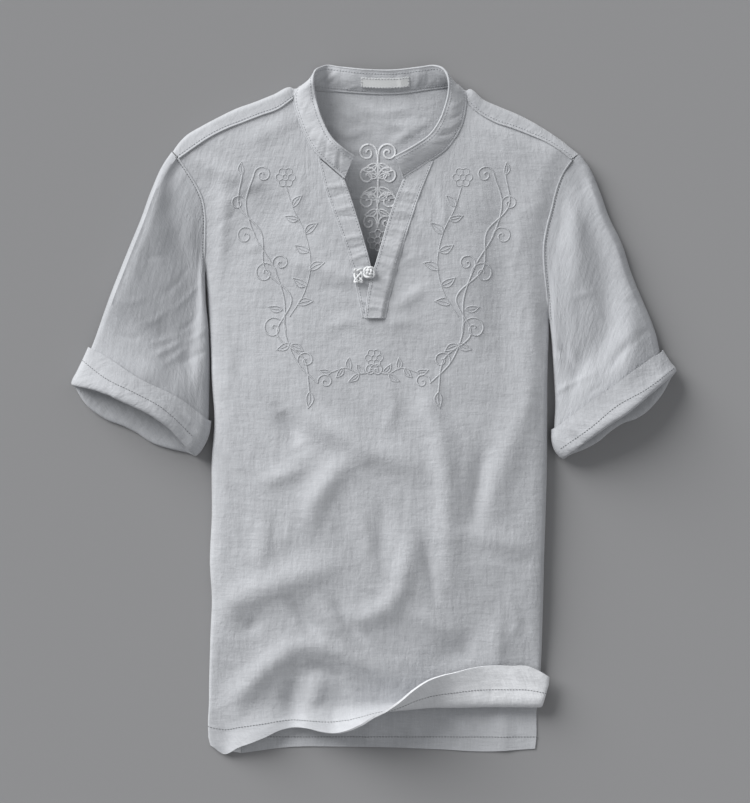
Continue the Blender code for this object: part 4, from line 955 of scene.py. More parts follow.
def turnUpRows(ring, across, sizes):
    normals = gridNormals(ring, None, True)
    centre = ring.mean(axis=1, keepdims=True)
    if ((ring - centre) * normals).sum() < 0:
        normals = -normals
    heights = columnAt(sizes["turnUp"], ("across", "height"), "across", "height", across)
    last = ring[-1]
    ahead = last - ring[-2]
    ahead /= np.linalg.norm(ahead, axis=1, keepdims=True)
    rows = []
    for degrees in (45, 90, 135):
        angle = math.radians(degrees)
        forward, out = turnRadius * math.sin(angle), turnRadius * (1 - math.cos(angle))
        rows.append(last + ahead * forward + normals[-1] * out)
    lines, outs = ring[::-1], normals[::-1]
    for share in (0.0, 0.3, 0.65, 1.0):
        row = []
        for j in range(ring.shape[1]):
            reach = np.concatenate([[0.0], np.cumsum(np.linalg.norm(np.diff(lines[:, j], axis=0), axis=1))])
            at = share * heights[j]
            place = np.array([np.interp(at, reach, lines[:, j, k]) for k in range(3)])
            out = np.array([np.interp(at, reach, outs[:, j, k]) for k in range(3)])
            row.append(place + out / np.linalg.norm(out) * 2 * turnRadius)
        rows.append(row)
    return np.array(rows)


def finerRing(ring, step=None):
    closed = np.concatenate([ring[:, -3:], ring, ring[:, :4]], axis=1)
    fine, rowAt, acrossAt = finer(closed, step=step)
    kept = (acrossAt >= 3) & (acrossAt < 3 + ring.shape[1] - 1e-6)
    return fine[:, kept], rowAt, acrossAt[kept] - 3


def sleeveCloth(name, node, sizes, sign, edges, materials):
    ring, topCount = sleeveGrid(sizes, sign, *edges)
    fine, rowAt, acrossAt = finerRing(ring)
    onTop = ease(acrossAt / 2.0) * ease((topCount - 1 - acrossAt) / 2.0)
    away = ease(rowAt / 2.0)[:, None] * onTop[None, :]
    stations = len(sleeveStations) - 1
    side = np.where(rowAt <= stations + 1.5, 1.0, -1.0)[:, None]
    normals = gridNormals(fine, None, True) * (-sign)
    rise = creaseHeight(sizes["creases"], fine[..., 0], fine[..., 1]) * away * side
    fine = fine + normals * rise[..., None]
    grid = fine if sign < 0 else fine[:, ::-1]
    made = shell(name, grid, shirt["wall"], materials, ring=True)
    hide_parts(node)
    return made


# Collar

collar = {
    "height": 26.5,
    "wall": 2.0,
    "rightFlatter": 0.4,  # how much lower the front parts lie
    "leftFlatter": 0.12,
    "flat": (0.43, 0.028),
    "area": 0.0109,
    # height, half width and line of each crease: how far round from the left end, how far up
    "creases": [
        (0.98, 2.2, (10, 4), (14, 13), (17, 22)),
        (-0.87, 2.0, (16, 3), (20, 14)),
        (0.87, 2.4, (31, 2), (33, 12), (36, 20)),
        (-0.76, 2.2, (43, 5), (44, 16), (47, 24)),
        (0.65, 2.6, (62, 4), (60, 15)),
        (-0.65, 3.0, (84, 6), (88, 20)),
        (0.98, 2.2, (122, 3), (130, 12), (139, 22)),
        (-0.87, 2.0, (129, 3), (137, 13), (146, 22)),
        (0.87, 2.0, (137, 4), (144, 12), (152, 20)),
        (-0.65, 2.0, (146, 4), (153, 12)),
        (0.54, 2.2, (174, 3), (182, 8)),
        (-0.54, 2.0, (196, 2), (204, 7)),
        (0.76, 2.2, (232, 5), (226, 14), (222, 22)),
        (-0.87, 2.0, (243, 4), (236, 13), (231, 22)),
        (0.98, 2.2, (252, 4), (246, 13), (240, 22)),
        (-0.76, 2.2, (262, 5), (256, 15), (252, 22)),
        (0.65, 3.0, (296, 4), (292, 18)),
        (-0.76, 2.6, (318, 5), (316, 20)),
        (0.87, 2.4, (334, 4), (331, 20)),
        (-0.87, 2.2, (345, 3), (344, 14), (340, 23)),
        (0.98, 2.2, (356, 3), (352, 22)),
        (-0.65, 2.2, (366, 4), (362, 20)),
    ],
}


def collarGrid():
    seam = neckPoints()
    edge = np.array(neckRows, float)[:, 3:5]
    flat = np.linalg.norm(edge - seam[:, :2], axis=1)
    rise = np.sqrt(np.maximum(collar["height"] ** 2 - flat**2, 16.0))
    shares = np.linspace(0, 1, 60)
    reach = lengthsAlong(seam)
    along = reach / reach[-1]
    onRight, onLeft = ease((along - 0.6) / 0.16), ease((0.34 - along) / 0.16)
    rise *= 1 - collar["rightFlatter"] * onRight - collar["leftFlatter"] * onLeft
    low = smoothThrough(along, seam, shares)
    high = smoothThrough(along, np.column_stack([edge, seam[:, 2] + rise]), shares)
    low[:, 2] += 0.5
    rows = []
    for share in (0.0, 0.33, 0.67, 1.0):
        line = low * (1 - share) + high * share
        line[:, 2] += 1.6 * math.sin(math.pi * share)
        rows.append(line)
    return np.array(rows)


def collarCloth(materials):
    fine = finer(collarGrid(), step=1.7, rowStep=1.1)[0]
    around, up = clothPlaces(fine)
    around = around - around[:, :1]
    rise = foldHeight(collar["creases"], around, up) * ease(up / 4) * ease((collar["height"] + 1 - up) / 5)
    rise = rise + 0.22 * np.sin(around / 7.3 + up / 3.1) * ease(up / 6)
    fine = fine + gridNormals(fine) * rise[..., None]
    thick = collar["wall"] - 0.35 * np.exp(-((up - collar["height"] + 3.6) / 0.9) ** 2)
    made = shell("collarCloth", fine, thick, materials)
    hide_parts("collar")
    return fine


# Bands of the neck slit

bands = {
    "left": [(-51.0, -27.0, 240.0), (-42.0, -19.0, 215.0), (-33.0, -11.5, 190.0), (-24.5, -4.2, 163.0),
             (-19.5, 0.0, 140.0), (-15.5, 4.0, 120.0), (-11.9, 7.3, 102.5)],
    "right": [(51.0, 27.0, 240.0), (42.5, 18.5, 215.0), (34.5, 11.0, 190.0), (27.5, 3.8, 165.0),
              (22.5, -2.5, 145.0), (16.5, -7.0, 122.0), (12.8, -9.1, 102.5)],
    "wall": 1.8,
    "lap": 3.2,
    # puckers: height, half width, y at the outer edge, y at the inner edge
    "puckers": {
        "left": [(1, 2.5, 246, 251), (-0.78, 2, 237, 241), (0.95, 2.4, 223, 226), (-0.7, 2.2, 214, 216),
                 (1, 2.7, 189, 194), (-0.7, 2.2, 179, 183), (0.95, 2.2, 168, 173), (-0.6, 2, 158, 161),
                 (0.7, 2.2, 139, 141), (0.78, 2.2, 122, 118), (0.7, 1.9, 111, 113)],
        "right": [(1.1, 2.5, 239, 244), (-0.87, 2.2, 229, 234), (0.95, 2.4, 218, 222), (-0.7, 2, 209, 213),
                  (1, 2.5, 197, 205), (-0.78, 2, 187, 194), (1, 2.4, 175, 184), (-0.78, 2, 166, 174),
                  (1, 2.2, 156, 166), (-0.7, 2, 147, 155), (1, 2.4, 131, 139), (-0.7, 2, 122, 128),
                  (0.78, 2, 112, 114)],
    },
    "flat": (0.024, 0.18),
    "area": {"left": 0.0036, "right": 0.0040},
}


def bandGrid(side):
    # columns from the outer edge to the inner one
    rows = bands[side]
    neck = outward(neckPoints(), 2.4)
    topOuter = neck[leftBandCorner] if side == "left" else neck[rightBandCorner]
    topInner = neck[0] if side == "left" else neck[-1]
    shares = np.linspace(0, 1, 90)
    outer = curveAt([tuple(topOuter[:2])] + [(r[0], r[2]) for r in rows], shares)
    inner = curveAt([tuple(topInner[:2])] + [(r[1], r[2]) for r in rows], shares)
    across = np.linspace(0, 1, 11)
    grid = np.zeros((len(shares), len(across), 3))
    for j, share in enumerate(across):
        flat = outer * (1 - share) + inner * share
        z = clothTop(flat[:, 0], flat[:, 1])
        if side == "right":
            over = ease((208 - flat[:, 1]) / 40)
            z = z + bands["lap"] * over * ease(np.linalg.norm(flat - outer, axis=1) / 4.5)
        for height, width, outerY, innerY in bands["puckers"][side]:
            away = flat[:, 1] - outerY - (innerY - outerY) * share - 0.8 * math.sin(4 * share + outerY)
            fade = math.sin(math.pi * (0.12 + 0.76 * share)) ** 0.5
            z = z + height * fade * np.exp(-((away / width) ** 2))
        grid[:, j, :2] = flat
        grid[:, j, 2] = z + 0.3
    return grid


def bandCloth(side, materials):
    grid = bandGrid(side)
    fine = finer(grid if side == "left" else grid[:, ::-1], step=1.3)[0]
    made = shell("band" + side.capitalize(), fine[::-1], bands["wall"], materials)
    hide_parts("placket_" + side)


# Lines laid on the cloth: stitches, seams and embroidery

thread = {
    "pitch": 3.3,  # one running stitch to the next
    "length": 2.8,
    "thick": 0.95,
    "satinPitch": 0.72,
    "satinThick": 1.1,
    "satinLean": 74.0,  # degrees from the line's direction
}
seams = {"armhole": 1.35, "shoulder": 0.95, "band": 1.0, "collarFoot": 1.25, "collarEdge": 1.3}


def nodeOf(tree, kind, **values):
    made = tree.nodes.new(kind)
    for key, value in values.items():
        setattr(made, key, value)
    return made


def joinAll(tree, *rows):
    # each row: a node and its output, then a node and its input
    for source, output, target, entry in rows:
        tree.links.new(source.outputs[output], target.inputs[entry])


def treeOf(name, inputs):
    tree = bpy.data.node_groups.new(name, "GeometryNodeTree")
    tree.is_modifier = True
    face = tree.interface
    face.new_socket(name="Geometry", in_out="INPUT", socket_type="NodeSocketGeometry")
    for title, kind, value in inputs:
        socket = face.new_socket(name=title, in_out="INPUT", socket_type=kind)
        if value is not None:
            socket.default_value = value
    face.new_socket(name="Geometry", in_out="OUTPUT", socket_type="NodeSocketGeometry")
    return tree, nodeOf(tree, "NodeGroupInput"), nodeOf(tree, "NodeGroupOutput")


def stitchTree():
    # a thread of given length at every pitch along each line, turned by a lean from the line's direction
    tree, ins, outs = treeOf("stitchesAlongLines", (
        ("Pitch", "NodeSocketFloat", 0.003),
        ("Length", "NodeSocketFloat", 0.0025),
        ("Thick", "NodeSocketFloat", 0.0007),
        ("Lean", "NodeSocketFloat", 0.0),
        ("Uneven", "NodeSocketFloat", 0.08),
        ("Seed", "NodeSocketInt", 4),
        ("Material", "NodeSocketMaterial", None),
    ))
    curve = nodeOf(tree, "GeometryNodeMeshToCurve")
    spaced = nodeOf(tree, "GeometryNodeResampleCurve", mode="LENGTH")
    ball = nodeOf(tree, "GeometryNodeMeshIcoSphere")
    ball.inputs["Radius"].default_value = 0.5
    ball.inputs["Subdivisions"].default_value = 1
    placed = nodeOf(tree, "GeometryNodeInstanceOnPoints")
    ahead = nodeOf(tree, "GeometryNodeInputTangent")
    facing = nodeOf(tree, "FunctionNodeAlignRotationToVector", axis="X")
    lean = nodeOf(tree, "FunctionNodeEulerToRotation")
    angles = nodeOf(tree, "ShaderNodeCombineXYZ")
    chance = nodeOf(tree, "FunctionNodeRandomValue", data_type="FLOAT")
    leaning = nodeOf(tree, "ShaderNodeMath", operation="ADD")
    lowest = nodeOf(tree, "ShaderNodeMath", operation="MULTIPLY")
    lowest.inputs[1].default_value = -1.0
    turned = nodeOf(tree, "FunctionNodeRotateRotation", rotation_space="LOCAL")
    reach = nodeOf(tree, "GeometryNodeInputNamedAttribute", data_type="FLOAT")
    reach.inputs["Name"].default_value = "reach"
    lengthened = nodeOf(tree, "ShaderNodeMath", operation="MULTIPLY")
    size = nodeOf(tree, "ShaderNodeCombineXYZ")
    real = nodeOf(tree, "GeometryNodeRealizeInstances")
    smooth = nodeOf(tree, "GeometryNodeSetShadeSmooth")
    coat = nodeOf(tree, "GeometryNodeSetMaterial")
    joinAll(
        tree,
        (ins, "Geometry", curve, 0), (curve, 0, spaced, "Curve"), (ins, "Pitch", spaced, "Length"),
        (spaced, 0, placed, "Points"), (ball, "Mesh", placed, "Instance"), (ahead, 0, facing, "Vector"),
        (ins, "Uneven", lowest, 0), (lowest, 0, chance, 2), (ins, "Uneven", chance, 3),
        (ins, "Seed", chance, "Seed"), (ins, "Lean", leaning, 0), (chance, 1, leaning, 1),
        (leaning, 0, angles, "Z"), (angles, 0, lean, 0), (facing, 0, turned, 0), (lean, 0, turned, 1),
        (turned, 0, placed, "Rotation"), (ins, "Length", lengthened, 0), (reach, 0, lengthened, 1),
        (lengthened, 0, size, "X"), (ins, "Thick", size, "Y"), (ins, "Thick", size, "Z"),
        (size, 0, placed, "Scale"), (placed, 0, real, 0), (real, 0, smooth, 0),
        (smooth, 0, coat, "Geometry"), (ins, "Material", coat, "Material"), (coat, 0, outs, 0),
    )
    return tree


def rollTree():
    # the round fold of a sewn seam, along each line; its radius is the line's own reach
    tree, ins, outs = treeOf("seamRolls", (
        ("Sides", "NodeSocketInt", 10),
        ("Material", "NodeSocketMaterial", None),
    ))
    curve = nodeOf(tree, "GeometryNodeMeshToCurve")
    spaced = nodeOf(tree, "GeometryNodeResampleCurve", mode="LENGTH")
    spaced.inputs["Length"].default_value = 0.002
    reach = nodeOf(tree, "GeometryNodeInputNamedAttribute", data_type="FLOAT")
    reach.inputs["Name"].default_value = "reach"
    wide = nodeOf(tree, "GeometryNodeSetCurveRadius")
    along = nodeOf(tree, "GeometryNodeCaptureAttribute")
    along.capture_items.new("FLOAT", "along")
    spot = nodeOf(tree, "GeometryNodeSplineParameter")
    circle = nodeOf(tree, "GeometryNodeCurvePrimitiveCircle", mode="RADIUS")
    circle.inputs["Radius"].default_value = mm
    swept = nodeOf(tree, "GeometryNodeCurveToMesh")
    swept.inputs["Fill Caps"].default_value = True
    place = nodeOf(tree, "ShaderNodeCombineXYZ")
    place.inputs["X"].default_value = 0.0
    stored = nodeOf(tree, "GeometryNodeStoreNamedAttribute", data_type="FLOAT2", domain="CORNER")
    stored.inputs["Name"].default_value = "clothUV"
    real = nodeOf(tree, "GeometryNodeRealizeInstances")
    smooth = nodeOf(tree, "GeometryNodeSetShadeSmooth")
    coat = nodeOf(tree, "GeometryNodeSetMaterial")
    joinAll(
        tree,
        (ins, "Geometry", curve, 0), (curve, 0, spaced, "Curve"), (spaced, 0, wide, "Curve"),
        (reach, 0, wide, "Radius"), (wide, 0, along, 0), (spot, "Length", along, 1),
        (along, 0, swept, "Curve"), (ins, "Sides", circle, "Resolution"),
        (circle, "Curve", swept, "Profile Curve"), (swept, 0, stored, "Geometry"),
        (along, 1, place, "Y"), (place, 0, stored, "Value"), (stored, 0, real, 0), (real, 0, smooth, 0),
        (smooth, 0, coat, "Geometry"), (ins, "Material", coat, "Material"), (coat, 0, outs, 0),
    )
    if "Scale" in swept.inputs:
        joinAll(tree, (reach, 0, swept, "Scale"))
    return tree


def madeAlong(name, tree, lines, values):
    # lines: (points in millimetres, reach of each); the tree's result becomes one plain mesh
    corners, edges, reaches = [], [], []
    for points, reach in lines:
        first = len(corners)
        corners += [tuple(p) for p in (np.asarray(points, float) + np.array(shirt["toOrigin"])) * mm]
        edges += [(first + k, first + k + 1) for k in range(len(points) - 1)]
        reaches += np.broadcast_to(reach, len(points)).tolist()
    mesh = bpy.data.meshes.new(name)
    mesh.from_pydata(corners, edges, [])
    mesh.attributes.new("reach", "FLOAT", "POINT").data.foreach_set("value", np.array(reaches, np.float32))
    made = bpy.data.objects.new(name, mesh)
    bpy.context.scene.collection.objects.link(made)
    modifier = made.modifiers.new("alongLines", "NODES")
    modifier.node_group = tree
    for item in tree.interface.items_tree:
        if item.item_type == "SOCKET" and item.in_out == "INPUT" and item.name in values:
            modifier[item.identifier] = values[item.name]
    result = bpy.data.meshes.new_from_object(made.evaluated_get(bpy.context.evaluated_depsgraph_get()))
    made.modifiers.clear()
    made.data = result
    return made


def surfaceOf(*pieces):
    # gives the height of the cloth under (or over) a place, in millimetres
    corners, faces = [], []
    shift = Vector(shirt["toOrigin"])
    for piece in pieces:
        first = len(corners)
        corners += [v.co / mm - shift for v in piece.data.vertices]
        faces += [[first + k for k in face.vertices] for face in piece.data.polygons]
    tree = BVHTree.FromPolygons(corners, faces)

    def heightAt(x, y, below=False):
        start = Vector((x, y, -8.0 if below else 90.0))
        hit = tree.ray_cast(start, Vector((0, 0, 1.0 if below else -1.0)))[0]
        return None if hit is None else hit.z

    return heightAt


def laidOn(heightAt, points, lift, below=False, step=1.8):
    # the line's points, closer together and brought to the cloth
    points = np.asarray(points, float)
    count = max(2, int(lengthsAlong(points)[-1] / step))
    if len(points) > 2:
        flat = curveAt(points, np.linspace(0, 1, count))
    else:
        flat = np.linspace(points[0], points[1], count)
    found = [(x, y, heightAt(x, y, below)) for x, y in flat[:, :2]]
    kept = np.array([(x, y, z) for x, y, z in found if z is not None])
    if len(kept) > 4:
        kept[1:-1, 2] = (kept[:-2, 2] + kept[1:-1, 2] + kept[2:, 2]) / 3
    kept[:, 2] += -lift if below else lift
    return kept


def aboveFloor(line, least):
    return np.maximum(line, [-np.inf, -np.inf, least])


def runningStitches(name, tree, lines, material, seed=4):
    lines = [aboveFloor(line, 0.45) for line in lines if len(line) > 2]
    return madeAlong(name, tree, [(line, 1.0) for line in lines], {
        "Pitch": thread["pitch"] * mm, "Length": thread["length"] * mm, "Thick": thread["thick"] * mm,
        "Lean": 0.0, "Uneven": 0.06, "Seed": seed, "Material": material,
    })


# Cord knot, its loop and the label

cord = {
    "size": 2.7, "knotWidth": 15.0, "loopLength": 17.0, "loopWidth": 8.6,
    "knotAt": (-4.6, 152.5), "loopAt": (-16.6, 148.8),
    "loopRadius": 0.44,  # share of the cord's size
}
label = {
    "width": 54.0, "height": 11.0, "wall": 0.8, "left": -14.0, "flat": (0.054, 0.011),
    # the part of the collar behind it: middle, half width, lowest y
    "behind": (14, 60, 350),
}


def tube(path, radius, sides):
    # rings round a closed path
    path = np.array(path, float)
    ahead = np.roll(path, -1, axis=0) - np.roll(path, 1, axis=0)
    ahead /= np.linalg.norm(ahead, axis=1, keepdims=True)
    side = np.cross(ahead, [0, 0, 1.0])
    side /= np.linalg.norm(side, axis=1, keepdims=True)
    over = np.cross(side, ahead)
    turn = 2 * np.pi * np.arange(sides) / sides
    ring = path[:, None] + radius * (np.cos(turn)[None, :, None] * side[:, None])
    return ring + radius * np.sin(turn)[None, :, None] * over[:, None]


def tubeObject(name, ring, materials):
    rows, sides = ring.shape[:2]
    i, j = np.meshgrid(np.arange(rows), np.arange(sides), indexing="ij")
    i, j = i.ravel(), j.ravel()
    n, q = (i + 1) % rows, (j + 1) % sides
    faces = np.stack([i * sides + j, n * sides + j, n * sides + q, i * sides + q], axis=1)
    uv = np.stack([np.stack(s, axis=1) for s in ((i, j), (i + 1, j), (i + 1, j + 1), (i, j + 1))], axis=1)
    uv = uv * np.array([0.35, 0.8])
    return addMesh(name, ring.reshape(-1, 3), faces, uv, np.zeros(len(faces)), materials)


def knotAndLoop(material):
    # the knot: one cord woven three times round, four bights; the loop: a cord crossed over itself
    high = float(clothTop(-3, 152)) + bands["lap"] + 1.6
    around = 6 * np.pi * np.arange(300) / 300
    reach = cord["knotWidth"] / 2 - cord["size"] / 2
    radius = reach * (0.66 + 0.34 * np.cos(4 * around / 3))
    x = radius * np.cos(around + 0.78)
    y = radius * np.sin(around + 0.78)
    dome = 1.6 * (1 - (radius / reach) ** 2)
    z = high + cord["size"] / 2 + dome + 1.15 + 1.0 * np.sin(8 * around / 3 + 0.4)
    path = np.column_stack([cord["knotAt"][0] + x, cord["knotAt"][1] + y, z])
    knot = tubeObject("knot", tube(path, cord["size"] / 2, 10), [material])
    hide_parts("knot_button")
    base = float(clothTop(-16, 149)) + 3.0
    around = 2 * np.pi * np.arange(220) / 220
    x = cord["loopAt"][0] + (cord["loopWidth"] / 2) * np.sin(3 * around + 1.5)
    y = cord["loopAt"][1] + (cord["loopLength"] - cord["size"]) / 2 * np.sin(2 * around)
    path = np.column_stack([x, y, base + 1.6 + 1.0 * np.sin(7 * around + 0.6)])
    loop = tubeObject("loop", tube(path, cord["size"] * cord["loopRadius"], 10), [material])
    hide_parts("button_loop")


def labelCloth(collarFine, materials):
    middleRow = collarFine.shape[0] // 2
    middleX, halfWidth, lowest = label["behind"]
    near = [j for j in range(collarFine.shape[1])
            if abs(collarFine[0, j, 0] - middleX) < halfWidth and collarFine[0, j, 1] > lowest]
    low, high, mids = collarFine[0, near], collarFine[-1, near], collarFine[middleRow, near]
    order = np.argsort(mids[:, 0])
    low, high, mids = low[order], high[order], mids[order]
    spread = (high - low).mean(axis=0)
    normal = np.cross([1.0, 0, 0], spread)
    normal /= np.linalg.norm(normal)
    spread /= np.linalg.norm(spread)
    xs = np.linspace(label["left"], label["left"] + label["width"], 28)
    grid = np.zeros((7, len(xs), 3))
    for j, x in enumerate(xs):
        middle = np.array([x, np.interp(x, mids[:, 0], mids[:, 1]), np.interp(x, mids[:, 0], mids[:, 2])])
        middle = middle + normal * (collar["wall"] / 2 + label["wall"] / 2 + 0.3) - spread
        for i, share in enumerate(np.linspace(-0.5, 0.5, 7)):
            grid[i, j] = middle + spread * label["height"] * share
    made = shell("labelTape", grid, label["wall"], materials)
    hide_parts("label")
    return grid, normal


# Sewing

hems = {
    "front": 9.6,  # stitch line from the hem, as on the back
    "back": 11.0,
    "frontColumn": 60,  # column of the fine grid along which that is measured
    "backColumn": 20,
    "cuffs": [
        [(-324, 55), (-297, 35), (-265.5, 19.6), (-234, 2.2), (-222, -8), (-202, -28)],
        [(334, 46), (303, 23.5), (269.5, 4.5), (240, -20), (209, -42.5)],
    ],
}


def sewing(trees, materials, made):
    stitches, rolls = trees
    hemThreadPaintedShade, seamThread, linen = materials
    frontColumn, backColumn = hems["frontColumn"], hems["backColumn"]
    frontPiece, frontFine, frontMask, flatY, thick = made["front"]
    lines = []
    normals = gridNormals(frontFine[..., :3], frontMask)
    row = int(np.argmin(np.abs(flatY[:, frontColumn] - flatY[0, frontColumn] - hems["front"])))
    inside = np.flatnonzero(frontMask[row])
    for way in (1, -1):
        out = normals[row, inside] * way * (thick[row, inside] / 2 + 0.12)[:, None]
        lines.append(frontFine[row, inside, :3] + out)
    backFine = made["back"]
    row = int(np.argmin(np.abs(backFine[:, backColumn, 1] - backFine[0, backColumn, 1] - hems["back"])))
    lines.append(backFine[row] + [0, 0, shirt["wall"] / 2 + 0.12])
    for piece, flat in zip(made["sleeves"], hems["cuffs"]):
        over = surfaceOf(piece)
        lines += [laidOn(over, flat, 0.12), laidOn(over, flat, 0.12, below=True)]
    for edge, side in ((made["leftArmhole"], -1), (made["rightArmhole"], 1)):
        over = surfaceOf(made["sleeves"][0 if side < 0 else 1], made["yoke"], frontPiece)
        lines.append(laidOn(over, curveAt(edge, np.linspace(0, 1, 60)) + [side * 3.0, 0, 0], 0.05))
    # these stitches take the near-black thread: painted shade of their grooves
    hemLines = runningStitches("hemStitches", stitches, lines, hemThreadPaintedShade)

    collarFine = made["collar"]
    normals = gridNormals(collarFine)
    lines = []
    for share in (0.12, 0.865):
        row = int(round((collarFine.shape[0] - 1) * share))
        for way in (1, -1):
            lines.append(collarFine[row] + normals[row] * way * (collar["wall"] / 2 + 0.05))
    for side in ("left", "right"):
        band = bandGrid(side)
        across = np.linalg.norm(band[:, -1, :2] - band[:, 0, :2], axis=1)
        for inset in (2.6, -2.0):
            share = (inset / across) % 1.0
            place = share * (band.shape[1] - 1)
            low = np.floor(place).astype(int)
            k = np.arange(len(band))
            part = (place - low)[:, None]
            middle = band[k, low] * (1 - part) + band[k, low + 1] * part
            lines.append(middle + [0, 0, bands["wall"] / 2 + 0.1])
        seam = seamPoints(side)[:, :2]
        fold = leftShoulder if side == "left" else rightShoulder
        reach = lengthsAlong(seam)
        toward = curveAt(fold, reach / reach[-1]) - seam
        toward /= np.linalg.norm(toward, axis=1, keepdims=True)
        over = surfaceOf(made["yoke"], frontPiece)
        lines.append(laidOn(over, seam + toward * 2.4, 0.12))
        made[side + "Shoulder"] = laidOn(over, seam - toward * 0.5, 0.1)
    labelGrid, labelNormal = made["label"]
    rim = np.concatenate([labelGrid[0], labelGrid[1:, -1], labelGrid[-1, -2::-1], labelGrid[-2:0:-1, 0]])
    middle = labelGrid.reshape(-1, 3).mean(axis=0)
    lines.append(middle + (rim - middle) * [0.965, 0.86, 0.86] + labelNormal * (label["wall"] / 2 + 0.1))
    seamLines = runningStitches("seamStitches", stitches, lines, seamThread, seed=9)

    away = np.array([*armAlong, 0.4]) * 0.8
    rolled = [
        (curveAt(made["leftArmhole"], np.linspace(0, 1, 60)) + away * [-1, 1, 1], seams["armhole"]),
        (curveAt(made["rightArmhole"], np.linspace(0, 1, 60)) + away, seams["armhole"]),
        (made["leftShoulder"], seams["shoulder"]),
        (made["rightShoulder"], seams["shoulder"]),
        (collarFine[-1], seams["collarEdge"]),
        (curveAt(neckPoints(), np.linspace(0, 1, 160)) + [0, 0, 1.0], seams["collarFoot"]),
    ]
    for side in ("left", "right"):
        band = bandGrid(side)
        rolled.append((band[:, 0] + [0, 0, 0.2], seams["band"] * (1.25 if side == "right" else 0.9)))
        rolled.append((band[:, -1] + [0, 0, 0.1], seams["band"] * 0.95))
    rolled.append((bandGrid("right")[-1, ::-1] + [0, 0, 0.2], seams["band"]))
    backSeam = [np.linspace(-190, 194, 90), np.full(90, 236.6), np.full(90, shirt["floorHeight"] + 0.6)]
    inner = np.column_stack(backSeam)
    rolled.append((inner, 0.9))
    rolled = [(aboveFloor(line, size + 0.1), size) for line, size in rolled]
    seamRolls = madeAlong("seamRolls", rolls, rolled, {"Sides": 10, "Material": linen})


# Embroidery: leafy scrolls of the same tone, mirrored about the slit; the column inside the back has a much
# lighter thread, as painted light

vine = {
    "axis": 0.5,
    "stem": 2.6,  # widths of the satin lines
    "scroll": 2.3,
    "leaf": 1.9,
    "fine": 1.6,
    "stems": [
        [(-62, 30), (-84, 52), (-98, 86), (-99, 122), (-112, 160), (-133, 196), (-142, 232), (-133, 262)],
        [(-71, 20), (-77, 56), (-107, 84), (-91, 124), (-121, 158), (-125, 198), (-150, 228), (-146, 262)],
    ],
    "twig": [(-93, 104), (-78, 128), (-70, 160), (-76, 196), (-90, 226), (-97, 248)],
    # start, radius, turns, first direction in degrees, hand
    "scrolls": [
        (-98, 86, 13, 1.5, -20, 1), (-108, 150, 12, 1.5, -10, 1), (-84, 52, 9, 1.3, 200, -1),
        (-132, 194, 10, 1.4, 0, 1), (-142, 232, 8, 1.3, 10, 1), (-133, 262, 9, 1.4, 180, -1),
        (-112, 160, 9, 1.3, 200, -1), (-62, 30, 8, 1.3, 190, -1),
    ],
    # base, length, width, angle in degrees
    "leaves": [
        (-84, 118, 17, 8, 10), (-74, 138, 18, 8, 150), (-71, 156, 18, 8, 25), (-72, 176, 17, 8, 155),
        (-76, 196, 18, 8, 40), (-83, 212, 16, 7, 165), (-90, 226, 16, 7, 50), (-146, 262, 14, 6, 95),
        (-93, 74, 16, 7, 205), (-92, 72, 15, 7, -25), (-71, 20, 18, 8, 265), (-101, 112, 16, 7, 170),
    ],
    "blossoms": [(-98, 259, 11, 6)],
}
spray = {
    "stem": [(0, 44), (-14, 40), (-30, 47), (-47, 42)],
    "leaves": [
        (-10, 41, 13, 6, 130), (-16, 40, 14, 6, 215), (-26, 45, 13, 6, 95), (-34, 47, 13, 6, 235),
        (-47, 42, 13, 6, 170),
    ],
    "scrolls": [(-4, 43, 7, 1.3, 190, -1)],
}
neckVine = {
    "axis": 5.0,
    "scrolls": [
        (4, 286, 10, 1.5, -10, 1), (4, 260, 10, 1.5, -10, 1), (4, 232, 10, 1.5, -10, 1),
        (4, 208, 8, 1.4, -10, 1),
    ],
    "leaves": [
        (4, 275, 17, 8, 205), (4, 248, 17, 8, 200), (4, 224, 15, 7, 205), (4, 260, 12, 6, 150),
        (4, 236, 12, 6, 150),
    ],
}

# x, y, radius and petals: below the slit, and inside the back
blossoms = [(0.5, 58, 10, 6), (5, 190, 12, 8)]


def scrollLine(x, y, radius, turns, start, hand):
    share = np.linspace(0, 1, int(40 * turns))
    angle = math.radians(start) + hand * 2 * math.pi * turns * share
    size = radius * (1 - share) ** 0.8 + 0.9
    centre = np.array([x - (radius + 0.9) * math.cos(angle[0]), y - (radius + 0.9) * math.sin(angle[0])])
    return centre + np.column_stack([size * np.cos(angle), size * np.sin(angle)])


def leafLines(x, y, length, width, angle):
    share = np.linspace(0, 1, 12)
    belly = width / 2 * np.sin(math.pi * share**0.8)
    turn = math.radians(angle)
    along, over = np.array([math.cos(turn), math.sin(turn)]), np.array([-math.sin(turn), math.cos(turn)])
    base = np.array([x, y]) + np.outer(share * length, along)
    bow = np.outer(1.2 * np.sin(math.pi * share), over)
    return [base + bow + np.outer(belly, over), base + bow - np.outer(belly, over), (base + bow)[1:-3]]


def blossomLines(x, y, radius, petals):
    turn = np.linspace(0, 2 * math.pi, 90)
    edge = radius * (0.76 + 0.24 * np.abs(np.cos(petals * turn / 2)))
    lines = [np.column_stack([x + edge * np.cos(turn), y + edge * np.sin(turn)])]
    ring = np.linspace(0, 2 * math.pi, 24)
    lines.append(np.column_stack([x + 0.3 * radius * np.cos(ring), y + 0.3 * radius * np.sin(ring)]))
    for k in range(petals):
        angle = 2 * math.pi * (k + 0.5) / petals
        reach = radius * np.linspace(0.36, 0.66, 5)
        lines.append(np.column_stack([x + reach * math.cos(angle), y + reach * math.sin(angle)]))
    return lines


def mirrored(lines, axis):
    return [(np.column_stack([2 * axis - flat[:, 0], flat[:, 1]]), reach) for flat, reach in lines]


